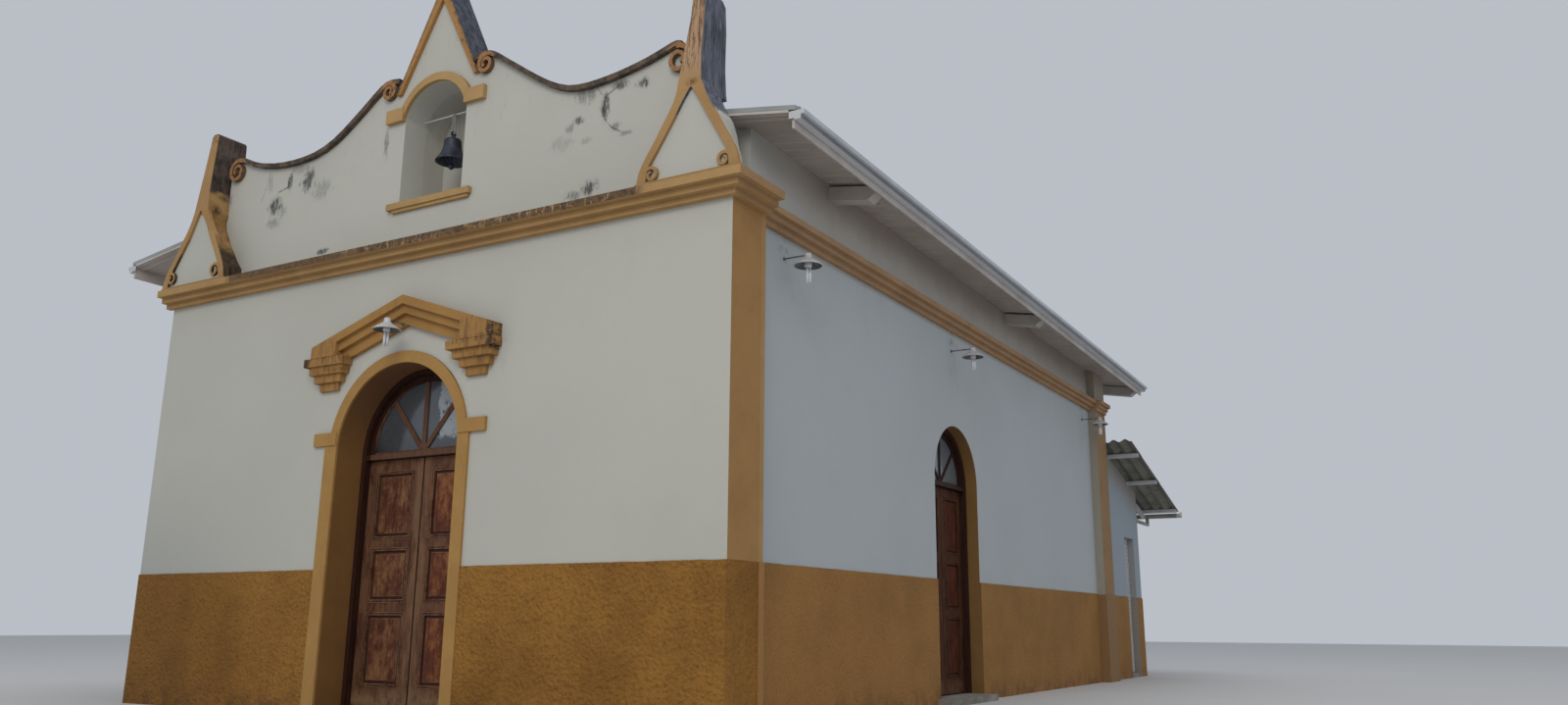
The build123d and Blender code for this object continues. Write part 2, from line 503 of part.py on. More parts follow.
def side_frame():
    x0, x1 = SD_FRAME_X - FRAME_T, SD_FRAME_X
    f = box(x0, x1, sd0, SD_Y - SD_JAMB, FLOOR_Z + 8, SD_SPRING) + box(x0, x1, SD_Y + SD_JAMB, sd1, FLOOR_Z + 8, SD_SPRING)
    r = cyl_x(x0, x1, SD_Y, SD_SPRING, SD_A - 0.5) - cyl_x(x0 - 1, x1 + 1, SD_Y, SD_SPRING, SD_JAMB)
    r += cyl_x(x0 + 12, x0 + 52, SD_Y, SD_SPRING, SD_JAMB + 10) - cyl_x(x0 + 5, x0 + 60, SD_Y, SD_SPRING, SD_SASH)
    f += r & box(x0, x1, sd0, sd1, SD_SPRING, 3200)
    f += box(x0, x1 - 6, sd0 + 1, sd1 - 1, *SD_TRANSOM)
    f += box(x0 + 12, x0 + 52, SD_Y - SD_JAMB, SD_Y + SD_JAMB, SD_TRANSOM[1], SD_TRANSOM[1] + 24)
    b = cyl_x(x0 + 15, x0 + 49, SD_Y, SD_SPRING, 56)
    for a in (45, 90, 135):
        b += Pos(x0 + 32, SD_Y, SD_SPRING) * Rot(a, 0, 0) * Pos(0, 276, 0) * Box(34, 552, 32)
    f += (b & box(x0, x1, sd0, sd1, SD_TRANSOM[1], 3200)) & cyl_x(x0, x1, SD_Y, SD_SPRING, SD_SASH + 5)
    g = (cyl_x(x0 + 29, x0 + 35, SD_Y, SD_SPRING, SD_SASH) & box(x0, x1, sd0, sd1, SD_TRANSOM[1] + 24, 3200)) - f
    return f, g


sf, sg = side_frame()
keep("side_door_frame", sf)
keep("fanlight_glass", *[s for s in solids_of(glass) + solids_of(sg) + solids_of(mirror_x(sg))])

SD_PANELS = ((250, 908), (975, 1508), (1585, 2232))
sleaf_w = SD_JAMB - 5 - 5


def side_leaf_front():
    # local x runs along +Y from the hinge, local y runs inwards along -X
    leaf = leaf_panels(sleaf_w, SD_PANELS, 86, SD_TRANSOM[0] - 8) - box(-10, 800, -10, 100, 0, FLOOR_Z + 20)
    for z in (420, 1220, 2020):
        leaf += box(0, 55, LEAF_T, LEAF_T + 4, z, z + 110)
        leaf += cyl_z(-2.5, LEAF_T + 9.5, z, z + 110, 7) + box(0, 9, LEAF_T, LEAF_T + 9.5, z, z + 110)
    return leaf


def place_side(leaf):
    # rotate local (x, y) to world: x -> +Y, y -> -X
    return Pos(SD_FRAME_X - FRAME_T + LEAF_T + 2, SD_Y - SD_JAMB + 5, 0) * Rot(0, 0, 90) * leaf


slf = place_side(side_leaf_front())
slr = mirror(slf, about=Plane(origin=(0, SD_Y, 0), z_dir=(0, 1, 0)))
keep("side_door_leaf_front", slf)
keep("side_door_leaf_rear", slr)
keep("left_side_door", mirror_x(sf + slf + slr))

# ---------------------------------------------------------------- roof
def slope(xa, xb):
    """Sheets of one side, between two distances across."""
    return prism_xz([(xa, roof_top(xa)), (xb, roof_top(xb)), (xb, roof_top(xb) - ROOF_T), (xa, roof_top(xa) - ROOF_T)], ROOF_Y0, ROOF_Y1)


roof_right = slope(ROOF_X0 + 1, XR)
roof_left = slope(XL, ROOF_X0 - 1)
front_notch = box(-3410, 3352, -500, PAR_Y1 + 4, 4000, 8000)
housing_cut = box(-NICHE_A - 114, NICHE_A + 114, PAR_Y1 - 10, NICHE_BACK + 114, 4700, 6200)
rr = tilt(roof_right) - front_notch - housing_cut
rl = tilt(roof_left) - front_notch - housing_cut
keep("roof_sheets", rr, rl)
ridge = prism_xz([(ROOF_X0 - 190, roof_top(ROOF_X0 - 190) + 4), (ROOF_X0, roof_top(ROOF_X0) + 4), (ROOF_X0 + 190, roof_top(ROOF_X0 + 190) + 4),
                  (ROOF_X0 + 190, roof_top(ROOF_X0 + 190) + 18), (ROOF_X0, roof_top(ROOF_X0) + 40),
                  (ROOF_X0 - 190, roof_top(ROOF_X0 - 190) + 18)], PAR_Y1 + 20, ROOF_Y1)
keep("ridge_cap", tilt(ridge) - housing_cut - front_notch)


# soffit panels, fascias and verge boards
def strip(x0, x1, y0, y1, d0, d1):
    """A sloping strip between two drops below the top of the sheets."""
    return prism_xz([(x0, roof_top(x0) - d0), (x1, roof_top(x1) - d0), (x1, roof_top(x1) - d1), (x0, roof_top(x0) - d1)], y0, y1)


NEAR_R, NEAR_L = 3348.0, -3396.0     # where the soffits and verges meet the ends of the parapet
right_strip = strip(SIDE_X + 2, XR - 40, ROOF_Y0 + 22, ROOF_Y1 - 22, 62, 76) + strip(NEAR_R, SIDE_X + 4, ROOF_Y0 + 22, PAR_Y1 - 4, 62, 76)
left_strip = strip(XL + 40, -SIDE_X - 2, ROOF_Y0 + 22, ROOF_Y1 - 22, 62, 76) + strip(-SIDE_X - 4, NEAR_L, ROOF_Y0 + 22, PAR_Y1 - 4, 62, 76)
rear_r = strip(ROOF_X0 + 2, SIDE_X - 2, NAVE_L + 4, ROOF_Y1 - 22, 62, 76)
rear_l = strip(-SIDE_X + 2, ROOF_X0 - 2, NAVE_L + 4, ROOF_Y1 - 22, 62, 76)
fascia_r = strip(XR - 38, XR - 16, ROOF_Y0 + 22, ROOF_Y1 - 22, ROOF_T + 2, 193)
fascia_l = strip(XL + 16, XL + 38, ROOF_Y0 + 22, ROOF_Y1 - 22, ROOF_T + 2, 193)
verge = [strip(NEAR_R, XR - 64, ROOF_Y0, ROOF_Y0 + 20, ROOF_T + 2, 64), strip(XL + 64, NEAR_L - 20, ROOF_Y0, ROOF_Y0 + 20, ROOF_T + 2, 64),
         strip(ROOF_X0 + 2, XR - 64, ROOF_Y1 - 20, ROOF_Y1, ROOF_T + 2, 78), strip(XL + 64, ROOF_X0 - 2, ROOF_Y1 - 20, ROOF_Y1, ROOF_T + 2, 78)]
eaves = []
for s in (right_strip, left_strip, rear_r, rear_l):
    s = tilt(s)
    for b in beams:
        s = s - b
    s = s - box(-3604, 3604, -100, PIL_FRONT, 3000, 4700)
    s = s - prism_xz([(-3604, 4285)] + [(-x - 4, z) for x, z in FLARE_L[1:]] + [(x + 4, z) for x, z in FLARE_R[:0:-1]] + [(3604, 4285)], 150, PAR_Y1 + 4)
    eaves += [q for q in solids_of(s) if q.volume > 1e5]
keep("eaves_soffits", *eaves)
boards = []
for s in (fascia_r, fascia_l, *verge):
    s = tilt(s)
    for b in beams:
        s = s - b
    boards += [q for q in solids_of(s) if q.volume > 1e4]
keep("fascia_boards", *boards)

# ---------------------------------------------------------------- gutters
def gutter(side):
    """Square gutter with a thick outer lip and a wide plate over its front end."""
    def across(a, b, y0, y1, z0, z1):
        xa, xb = (XR + a, XR + b) if side > 0 else (XL - a, XL - b)
        return box(min(xa, xb), max(xa, xb), y0, y1, z0, z1)

    z1 = (EAVE_Z if side > 0 else EAVE_L) - 46
    z0 = z1 - 76
    g = across(-12, 50, ROOF_Y0 + 5, ROOF_Y1 + 10, z0, z1) + across(50, 80, ROOF_Y0 + 5, ROOF_Y1 + 10, z1 - 38, z1)
    g += across(-62, -12, ROOF_Y0 + 5, ROOF_Y0 + 13, z0 + 14, z1)
    g -= across(-7, 45, ROOF_Y0 + 10, ROOF_Y1 + 5, z0 + 5, z1 + 5)
    return tilt(g)


sag = SAC_ROOF_Z - SAC_SLOPE * (SAC_ROOF_Y1 - NAVE_L)
pipe_y, pipe_z = SAC_ROOF_Y1 + 48, sag - 62
pipe = cyl_x(-4035, 4035, pipe_y, pipe_z, 52) - cyl_x(-4025, 4025, pipe_y, pipe_z, 46)
pipe -= box(-4015, 4015, SAC_ROOF_Y1 + 2, SAC_ROOF_Y1 + 94, sag - 40, sag + 60)
# rainwater pipe: down from the trough, back to the wall corner and down it
down = cyl_z(3430, pipe_y, pipe_z - 155, pipe_z - 48, 30) + Pos(3430, pipe_y, pipe_z - 155) * Sphere(30)
back = Pos(3430, (pipe_y + SAC_Y1 + 60) / 2, pipe_z - 155) * Rot(90, 0, 0) * Cylinder(30, pipe_y - SAC_Y1 - 60)
down += back + Pos(3430, SAC_Y1 + 60, pipe_z - 155) * Sphere(30) + cyl_z(3430, SAC_Y1 + 60, 60, pipe_z - 155, 30)
down += box(3400, 3460, SAC_Y1 + DADO_T, SAC_Y1 + 60, 1500, 1530)
keep("gutters", gutter(1), gutter(-1), pipe + down)

# ---------------------------------------------------------------- lamps
def lamp(length, plate=32):
    """Bent arm with a conical shade and a lamp tube; root on the wall at the origin, arm along +X."""
    l = cyl_x(0, 14, 0, 0, plate) + cyl_x(0, length, 0, 0, 8)
    l += cyl_z(length, 0, -30, 14, 26)
    l += Pos(length, 0, -62) * Cone(125, 34, 72)
    l -= Pos(length, 0, -70) * Cone(120, 22, 76)
    l += cyl_z(length, 0, -140, -30, 15)
    l += cyl_z(length, 0, -245, -95, 30)
    return l


lamps = [Pos(SIDE_X, y, z) * lamp(n) for y, z, n in ((1025.0, 3893.0, 240), (4883.0, 3868.0, 265), (10228.0, 3893.0, 275))]
lamps.append(Pos(51, -48, 3490) * Rot(0, 0, -90) * lamp(192, 24))
keep("wall_lamps", *lamps)

# ---------------------------------------------------------------- sacristy
def sac_under(y):
    return SAC_ROOF_Z - SAC_SLOPE * (y - NAVE_L)


sac_cut = prism_yz([(NAVE_L - 100, sac_under(NAVE_L - 100)), (15500, sac_under(15500)), (15500, 6000), (NAVE_L - 100, 6000)], -5000, 5000)
purlins = []
for y in (11610.0, 12820.0, 14260.0):
    purlins.append(prism_yz([(y, sac_under(y) - 2), (y + 60, sac_under(y + 60) - 2), (y + 60, sac_under(y + 60) - 50),
                             (y, sac_under(y) - 50)], -SAC_ROOF_X + 20, SAC_ROOF_X - 20))
keep("sacristy_purlins", *purlins)
rafters = []
for x in (-3410.0, -1150.0, 1110.0, 3350.0):
    rafters.append(prism_yz([(NAVE_L + 4, sac_under(NAVE_L + 4) - 50), (SAC_ROOF_Y1 - 20, sac_under(SAC_ROOF_Y1 - 20) - 50),
                             (SAC_ROOF_Y1 - 20, sac_under(SAC_ROOF_Y1 - 20) - 120), (NAVE_L + 4, sac_under(NAVE_L + 4) - 120)], x, x + 60))
keep("sacristy_rafters", *rafters)
tim = purlins[0]
for t in purlins[1:] + rafters:
    tim = tim + t
d0, d1, dz = SAC_DOOR
srf = box(SIDE_X - WALL_T, SIDE_X, NAVE_L, d0, 0, 3700) - sac_cut - tim + box(SIDE_X, SIDE_X + DADO_T, NAVE_L, d0, 0, DADO_Z)
srr = box(SIDE_X - WALL_T, SIDE_X, d1, SAC_Y1, 0, 3700) - sac_cut - tim + box(SIDE_X, SIDE_X + DADO_T, d1, SAC_Y1, 0, DADO_Z)
sro = box(SIDE_X - WALL_T, SIDE_X, d0, d1, dz, 3700) - sac_cut - tim
slw = box(-SIDE_X, -SIDE_X + WALL_T, NAVE_L, SAC_Y1, 0, 3700) - sac_cut - tim + box(-SIDE_X - DADO_T, -SIDE_X, NAVE_L, SAC_Y1, 0, DADO_Z)
srw = box(-SIDE_X + WALL_T, SIDE_X - WALL_T, SAC_Y1 - WALL_T, SAC_Y1, 0, 3700) - sac_cut - tim
srw += box(-SIDE_X + WALL_T, SIDE_X - WALL_T, SAC_Y1, SAC_Y1 + DADO_T, 0, DADO_Z)
keep("sacristy_wall_front", big(srf))
keep("sacristy_wall_corner", big(srr))
keep("sacristy_door_lintel", *[s for s in solids_of(sro) if s.volume > 1e6])
keep("sacristy_left_wall", big(slw))
keep("sacristy_rear_wall", big(srw))
sheet = prism_yz([(NAVE_L + 4, sac_under(NAVE_L + 4)), (SAC_ROOF_Y1, sac_under(SAC_ROOF_Y1)), (SAC_ROOF_Y1, sac_under(SAC_ROOF_Y1) + 36),
                  (NAVE_L + 4, sac_under(NAVE_L + 4) + 36)], -SAC_ROOF_X, SAC_ROOF_X)
keep("sacristy_roof", sheet)

# louvred steel door: a framed leaf, hinged at its rear edge, opening inwards
lx0, lx1 = SIDE_X - 130, SIDE_X - 98
leaf = box(lx0, lx1, d0 + 8, d1 - 6, FLOOR_Z + 12, dz - 8)
leaf -= box(lx0 - 1, lx0 + 10, d0 + 56, d1 - 56, 170, dz - 60)
leaf -= box(lx1 - 10, lx1 + 1, d0 + 56, d1 - 56, 170, dz - 60)
for z in (400, 1850):
    leaf += cyl_z(lx0 - 9, d1 - 8, z, z + 90, 7) + box(lx0 - 9, lx0, d1 - 14, d1 - 6, z, z + 90)
leaf += box(lx1, lx1 + 26, d0 + 22, d0 + 40, 1050, 1190)
keep("sacristy_door", leaf)

for name, shape in parts.items():
    export_step(shape, f"parts/{name}.step")
print(len(parts), "parts")
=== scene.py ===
import math

import bpy
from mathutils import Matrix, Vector


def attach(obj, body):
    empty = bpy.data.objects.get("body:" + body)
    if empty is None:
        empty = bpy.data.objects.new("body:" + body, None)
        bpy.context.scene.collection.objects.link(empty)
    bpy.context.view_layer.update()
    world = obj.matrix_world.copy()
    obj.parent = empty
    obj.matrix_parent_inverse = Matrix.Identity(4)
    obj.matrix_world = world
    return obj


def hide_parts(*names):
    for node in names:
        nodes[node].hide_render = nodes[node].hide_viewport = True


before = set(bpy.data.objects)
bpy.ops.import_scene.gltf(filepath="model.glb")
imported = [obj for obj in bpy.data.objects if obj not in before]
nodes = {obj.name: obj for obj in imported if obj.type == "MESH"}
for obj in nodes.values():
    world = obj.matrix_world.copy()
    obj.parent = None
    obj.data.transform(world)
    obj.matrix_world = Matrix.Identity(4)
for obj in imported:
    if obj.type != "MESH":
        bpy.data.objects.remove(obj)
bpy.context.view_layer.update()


# ------------------------------------------------------------------ shader helpers
class Graph:
    """Small helper that builds a procedural material in object coordinates (metres)."""

    def __init__(self, name):
        self.mat = bpy.data.materials.new(name)
        self.mat.use_nodes = True
        self.t = self.mat.node_tree
        self.t.nodes.clear()
        self.out = self.t.nodes.new("ShaderNodeOutputMaterial")
        self.bsdf = self.t.nodes.new("ShaderNodeBsdfPrincipled")
        self.t.links.new(self.bsdf.outputs[0], self.out.inputs[0])
        self.tc = self.t.nodes.new("ShaderNodeTexCoord")
        self.p = self.tc.outputs["Object"]
        s = self.t.nodes.new("ShaderNodeSeparateXYZ")
        self.t.links.new(self.p, s.inputs[0])
        self.x, self.y, self.z = s.outputs
        g = self.t.nodes.new("ShaderNodeNewGeometry")
        self.geo = g
        n = self.t.nodes.new("ShaderNodeSeparateXYZ")
        self.t.links.new(self.tc.outputs["Normal"], n.inputs[0])
        self.nx, self.ny, self.nz = n.outputs

    def put(self, socket, v):
        if isinstance(v, bpy.types.NodeSocket):
            self.t.links.new(v, socket)
        else:
            socket.default_value = v

    def m(self, op, a, b=0.0, c=0.0, clamp=False):
        n = self.t.nodes.new("ShaderNodeMath")
        n.operation = op
        n.use_clamp = clamp
        self.put(n.inputs[0], a)
        self.put(n.inputs[1], b)
        self.put(n.inputs[2], c)
        return n.outputs[0]

    def add(self, *v):
        r = v[0]
        for q in v[1:]:
            r = self.m("ADD", r, q)
        return r

    def mul(self, *v):
        r = v[0]
        for q in v[1:]:
            r = self.m("MULTIPLY", r, q)
        return r

    def sub(self, a, b):
        return self.m("SUBTRACT", a, b)

    def inv(self, a):
        return self.m("SUBTRACT", 1.0, a, clamp=True)

    def mx(self, *v):
        r = v[0]
        for q in v[1:]:
            r = self.m("MAXIMUM", r, q)
        return r

    def step(self, v, lo, hi, smooth=True):
        """0 below lo, 1 above hi (or the other way round where lo > hi)."""
        n = self.t.nodes.new("ShaderNodeMapRange")
        n.interpolation_type = "SMOOTHSTEP" if smooth else "LINEAR"
        n.clamp = True
        self.put(n.inputs[0], v)
        if lo <= hi:
            n.inputs[1].default_value, n.inputs[2].default_value = lo, hi
            n.inputs[3].default_value, n.inputs[4].default_value = 0.0, 1.0
        else:
            n.inputs[1].default_value, n.inputs[2].default_value = hi, lo
            n.inputs[3].default_value, n.inputs[4].default_value = 1.0, 0.0
        return n.outputs[0]

    def between(self, v, a, b, soft=0.01):
        return self.mul(self.step(v, a - soft, a + soft), self.step(v, b + soft, b - soft))

    def scaled(self, sx, sy, sz, off=(0.0, 0.0, 0.0), warp=None):
        n = self.t.nodes.new("ShaderNodeMapping")
        n.inputs["Scale"].default_value = (sx, sy, sz)
        n.inputs["Location"].default_value = off
        src = self.p
        if warp is not None:
            v = self.t.nodes.new("ShaderNodeVectorMath")
            v.operation = "ADD"
            self.t.links.new(self.p, v.inputs[0])
            self.t.links.new(warp, v.inputs[1])
            src = v.outputs[0]
        self.t.links.new(src, n.inputs[0])
        return n.outputs[0]

    def noise(self, scale=5.0, detail=4.0, rough=0.55, vec=None, dist=0.0):
        n = self.t.nodes.new("ShaderNodeTexNoise")
        n.inputs["Scale"].default_value = scale
        n.inputs["Detail"].default_value = detail
        n.inputs["Roughness"].default_value = rough
        n.inputs["Distortion"].default_value = dist
        self.t.links.new(vec if vec is not None else self.p, n.inputs["Vector"])
        return n.outputs["Fac"]

    def noise_vec(self, scale, amount, detail=2.0):
        n = self.t.nodes.new("ShaderNodeTexNoise")
        n.inputs["Scale"].default_value = scale
        n.inputs["Detail"].default_value = detail
        self.t.links.new(self.p, n.inputs["Vector"])
        v = self.t.nodes.new("ShaderNodeVectorMath")
        v.operation = "SUBTRACT"
        self.t.links.new(n.outputs["Color"], v.inputs[0])
        v.inputs[1].default_value = (0.5, 0.5, 0.5)
        w = self.t.nodes.new("ShaderNodeVectorMath")
        w.operation = "SCALE"
        self.t.links.new(v.outputs[0], w.inputs[0])
        w.inputs["Scale"].default_value = amount
        return w.outputs[0]

    def voronoi(self, scale, feature="F1", vec=None, rand=1.0):
        n = self.t.nodes.new("ShaderNodeTexVoronoi")
        n.feature = feature
        n.inputs["Scale"].default_value = scale
        n.inputs["Randomness"].default_value = rand
        self.t.links.new(vec if vec is not None else self.p, n.inputs["Vector"])
        return n.outputs["Distance"]

    def mix(self, f, a, b):
        n = self.t.nodes.new("ShaderNodeMix")
        n.data_type = "RGBA"
        n.clamp_factor = True
        self.put(n.inputs[0], f)
        for k, v in ((6, a), (7, b)):
            if isinstance(v, bpy.types.NodeSocket):
                self.t.links.new(v, n.inputs[k])
            else:
                n.inputs[k].default_value = (*v, 1.0)
        return n.outputs[2]

    def shade(self, col, f):
        """Colour multiplied by a number."""
        n = self.t.nodes.new("ShaderNodeVectorMath")
        n.operation = "SCALE"
        self.put(n.inputs[0], col)
        self.put(n.inputs["Scale"], f)
        return n.outputs[0]

    def blot(self, cx, cz, rx, rz, horizontal=None):
        """1 at (cx, cz) fading to 0 at the ellipse, in the plane of the front."""
        h = horizontal if horizontal is not None else self.x
        a = self.m("DIVIDE", self.sub(h, cx), rx)
        b = self.m("DIVIDE", self.sub(self.z, cz), rz)
        d = self.m("SQRT", self.add(self.mul(a, a), self.mul(b, b)))
        return self.step(d, 1.0, 0.0)

    def bump(self, height, strength=0.4, dist=0.01, under=None):
        n = self.t.nodes.new("ShaderNodeBump")
        n.inputs["Strength"].default_value = strength
        n.inputs["Distance"].default_value = dist
        self.t.links.new(height, n.inputs["Height"])
        if under is not None:
            self.t.links.new(under, n.inputs["Normal"])
        return n.outputs[0]

    def done(self, color=None, rough=None, normal=None, metal=None, spec=None):
        if color is not None:
            self.put(self.bsdf.inputs["Base Color"], color)
        if rough is not None:
            self.put(self.bsdf.inputs["Roughness"], rough)
        if normal is not None:
            self.put(self.bsdf.inputs["Normal"], normal)
        if metal is not None:
            self.bsdf.inputs["Metallic"].default_value = metal
        if spec is not None:
            self.bsdf.inputs["Specular IOR Level"].default_value = spec
        return self.mat


def paint(obj, mat):
    obj.data.materials.clear()
    obj.data.materials.append(mat)


# ------------------------------------------------------------------ colours (linear)
WHITE = (0.536, 0.528, 0.474)
# the side walls' white is the front's white tinted blue: painted shade on the side
WHITE_SIDE_SHADED = (0.474, 0.505, 0.515)
CREAM = (0.50, 0.47, 0.40)
OCHRE = (0.430, 0.245, 0.080)
DADO = (0.450, 0.213, 0.044)
DADO_LOW = (0.320, 0.146, 0.030)
REVEAL = (0.245, 0.128, 0.048)
MOULD = (0.040, 0.039, 0.038)
BROWN = (0.085, 0.052, 0.030)
SLATE = (0.040, 0.043, 0.055)


def dado_mask(g, top=1.275, wobble=0.006):
    n = g.noise(6.0, 2.0)
    edge = g.add(top, g.mul(g.sub(n, 0.5), wobble * 2))
    return g.step(g.sub(g.z, edge), 0.002, -0.002)


def plaster_white(g, base, amount=0.05):
    """White paint over trowelled render: soft cloudiness, faint yellowing, hairline texture."""
    big = g.noise(0.55, 3.0, 0.5)
    mid = g.noise(3.2, 4.0, 0.6)
    col = g.mix(g.step(big, 0.35, 0.7), base, tuple(c * (1 - amount) for c in base))
    col = g.mix(g.mul(g.step(mid, 0.48, 0.75), 0.28), col, tuple(c * k for c, k in zip(base, (0.93, 0.92, 0.88))))
    return col


def trowel_height(g):
    a = g.noise(2.2, 5.0, 0.62, g.scaled(1, 1, 1.6))
    b = g.noise(26.0, 3.0, 0.5)
    return g.add(a, g.mul(b, 0.10))


def roughcast_height(g, scale=90.0):
    v = g.voronoi(scale, "SMOOTH_F1")
    n = g.noise(scale * 0.55, 5.0, 0.7)
    return g.add(g.mul(g.sub(1.0, v), 0.5), n)


# ------------------------------------------------------------------ walls
def wall_material(name, side=False):
    g = Graph(name)
    base = WHITE_SIDE_SHADED if side else WHITE
    white = plaster_white(g, base)
    if side:
        # dirt runs below the cornice and soot round the lamps
        st = g.mul(g.step(g.noise(2.5, 4.0, 0.6, g.scaled(1, 1, 0.25)), 0.55, 0.8), g.step(g.z, 3.2, 4.1), 0.25)
        white = g.mix(st, white, (0.32, 0.31, 0.29))
        for cy in (1.025, 4.883, 10.228):
            b = g.mul(g.blot(cy + 0.02, 4.02, 0.22, 0.26, g.y), g.step(g.noise(14.0, 4.0), 0.45, 0.72), 0.55)
            white = g.mix(b, white, (0.18, 0.17, 0.155))
            c = g.mul(g.blot(cy + 0.12, 3.62, 0.30, 0.42, g.y), g.step(g.noise(5.0, 3.0), 0.42, 0.75), 0.22)
            white = g.mix(c, white, (0.27, 0.27, 0.27))
        # the strip above the cornice is painted with the shade under the eaves: beige-grey with warm light thrown back
        # from the soffit, darker upwards and paler near the front; the top of the sacristy wall under the lean-to turns
        # tan, partly painted shade under that eave and partly dirt
        strip = g.mul(g.step(g.z, 4.235, 4.245), g.step(g.y, 11.16, 11.14))
        rise = g.add(g.z, g.mul(g.sub(g.y, 0.2), 0.01545), g.mul(g.sub(g.noise(2.4, 5.0, 0.65), 0.5), 0.30))
        eave_shade_colour = g.mix(g.step(rise, 4.32, 4.86), (0.60, 0.575, 0.525), (0.39, 0.335, 0.285))
        eave_shade_colour = g.mix(g.mul(g.step(g.y, 1.9, 0.7), 0.6), eave_shade_colour, (0.54, 0.55, 0.54))
        white = g.mix(strip, white, eave_shade_colour)
        sac = g.mul(g.step(g.y, 11.14, 11.16), g.step(g.add(g.z, g.mul(g.sub(g.y, 11.15), 0.25), g.mul(g.sub(g.noise(3.0, 4.0), 0.5), 0.35)), 3.10, 3.52))
        # the sacristy wall is tinted blue-grey: painted shade
        white = g.mix(g.mul(g.step(g.y, 11.14, 11.16), 0.55), white, (0.235, 0.300, 0.360))
        white = g.mix(g.mul(sac, 0.6), white, (0.36, 0.30, 0.235))
    else:
        # darker and cooler towards the lower left of the front: painted shade
        low = g.mul(g.step(g.x, -0.6, -3.4), g.step(g.z, 2.6, 1.0), 0.55)
        white = g.mix(low, white, tuple(c * k for c, k in zip(base, (0.66, 0.70, 0.74))))
        # black run beside the right end of the hood
        run = g.mul(g.blot(1.270, 3.12, 0.060, 0.24), g.step(g.noise(24.0, 6.0, 0.75, g.scaled(1, 1, 0.3)), 0.46, 0.68), 0.5)
        white = g.mix(run, white, (0.10, 0.095, 0.085))
        end = g.step(g.m("ABSOLUTE", g.nx), 0.4, 0.6)
        white = g.mix(g.mul(end, g.step(g.m("ABSOLUTE", g.x), 3.50, 3.55)), white, ochre_color(g, (0.40, 0.225, 0.085)))
    hi = g.noise(1.3, 4.0, 0.6)
    dado, dado_low = (DADO, DADO_LOW) if not side else ((0.390, 0.196, 0.060), (0.315, 0.160, 0.049))
    ochre = g.mix(g.step(hi, 0.35, 0.7), dado, dado_low)
    grit = g.noise(54.0 if side else 40.0, 4.0, 0.7)
    lumps = roughcast_height(g, 56.0 if side else 34.0)
    # darker in the hollows of the roughcast: painted shade that brings out its relief
    ochre = g.mix(g.mul(g.step(lumps, 0.84, 0.62), 0.20 if side else 0.24), ochre, (0.20, 0.092, 0.024))
    ochre = g.mix(g.mul(g.step(grit, 0.44, 0.30), 0.5 if side else 0.62), ochre, (0.17, 0.078, 0.018))
    ochre = g.mix(g.mul(g.step(grit, 0.56, 0.70), 0.0 if side else 0.35), ochre, (0.50, 0.27, 0.075))
    ochre = g.mix(g.mul(g.step(g.z, 0.30, 0.0), g.step(g.noise(7.0, 4.0), 0.38, 0.65), 0.65), ochre, (0.17, 0.085, 0.04))
    if not side:
        # the dado darkens towards the left end: painted shade, as on the white above it
        ochre = g.mix(g.mul(g.step(g.x, -1.4, -3.0), 0.42), ochre, (0.140, 0.064, 0.018))
    d = dado_mask(g, 1.287 if side else 1.275)
    col = g.mix(d, white, ochre)
    # brown-ochre paint inside the openings
    if side:
        inside = g.mul(g.step(g.m("ABSOLUTE", g.nx), 0.6, 0.4), g.step(g.m("ABSOLUTE", g.sub(g.y, 4.945)), 0.660, 0.645), g.step(g.z, 3.03, 3.01))
        sac_in = g.mul(g.step(g.m("ABSOLUTE", g.nx), 0.6, 0.4), g.between(g.y, 12.43, 13.065, 0.004), g.step(g.z, 2.27, 2.265))
        col = g.mix(g.mul(sac_in, 0.75), col, (0.32, 0.31, 0.29))
        col = g.mix(inside, col, ochre_color(g, (0.240, 0.130, 0.046)))
    else:
        inside = g.mul(g.step(g.m("ABSOLUTE", g.ny), 0.6, 0.4), g.step(g.m("ABSOLUTE", g.sub(g.x, 0.025)), 0.795, 0.785), g.step(g.z, 3.172, 3.162))
        col = g.mix(inside, col, ochre_color(g, (0.240, 0.118, 0.038)))
        # the reveal and the arch's soffit darken towards the crown: painted shade under the arch
        col = g.mix(g.mul(inside, g.step(g.z, 2.45, 3.05), 0.60), col, (0.165, 0.076, 0.048))
    keep_flat = g.inv(inside)
    rh = g.mul(lumps, d, keep_flat)
    th = g.mul(trowel_height(g), g.inv(d))
    nb = g.bump(rh, 1.0 if not side else 0.85, 0.055 if not side else 0.018)
    nrm = g.bump(th, 0.20, 0.02, nb)
    return g.done(col, 0.88, nrm, spec=0.2)


def smudge(g, cx, cz, rx, rz, lo=0.44, hi=0.58, slant=0.0, grain=40.0):
    """A soft-edged stain made of many small specks, drawn out along the vertical."""
    h = g.add(g.x, g.mul(g.sub(g.z, cz), slant)) if slant else g.x
    h = g.add(h, g.mul(g.sub(g.noise(6.5, 5.0, 0.7), 0.5), rx * 1.9))
    b = g.blot(cx, cz, rx * 1.25, rz * 1.25, h)
    n = g.noise(grain, 7.0, 0.76, g.scaled(1, 1, 0.24))
    return g.mul(g.step(g.add(n, g.mul(b, 0.22)), lo + 0.085, hi + 0.145), g.step(b, 0.0, 0.75))


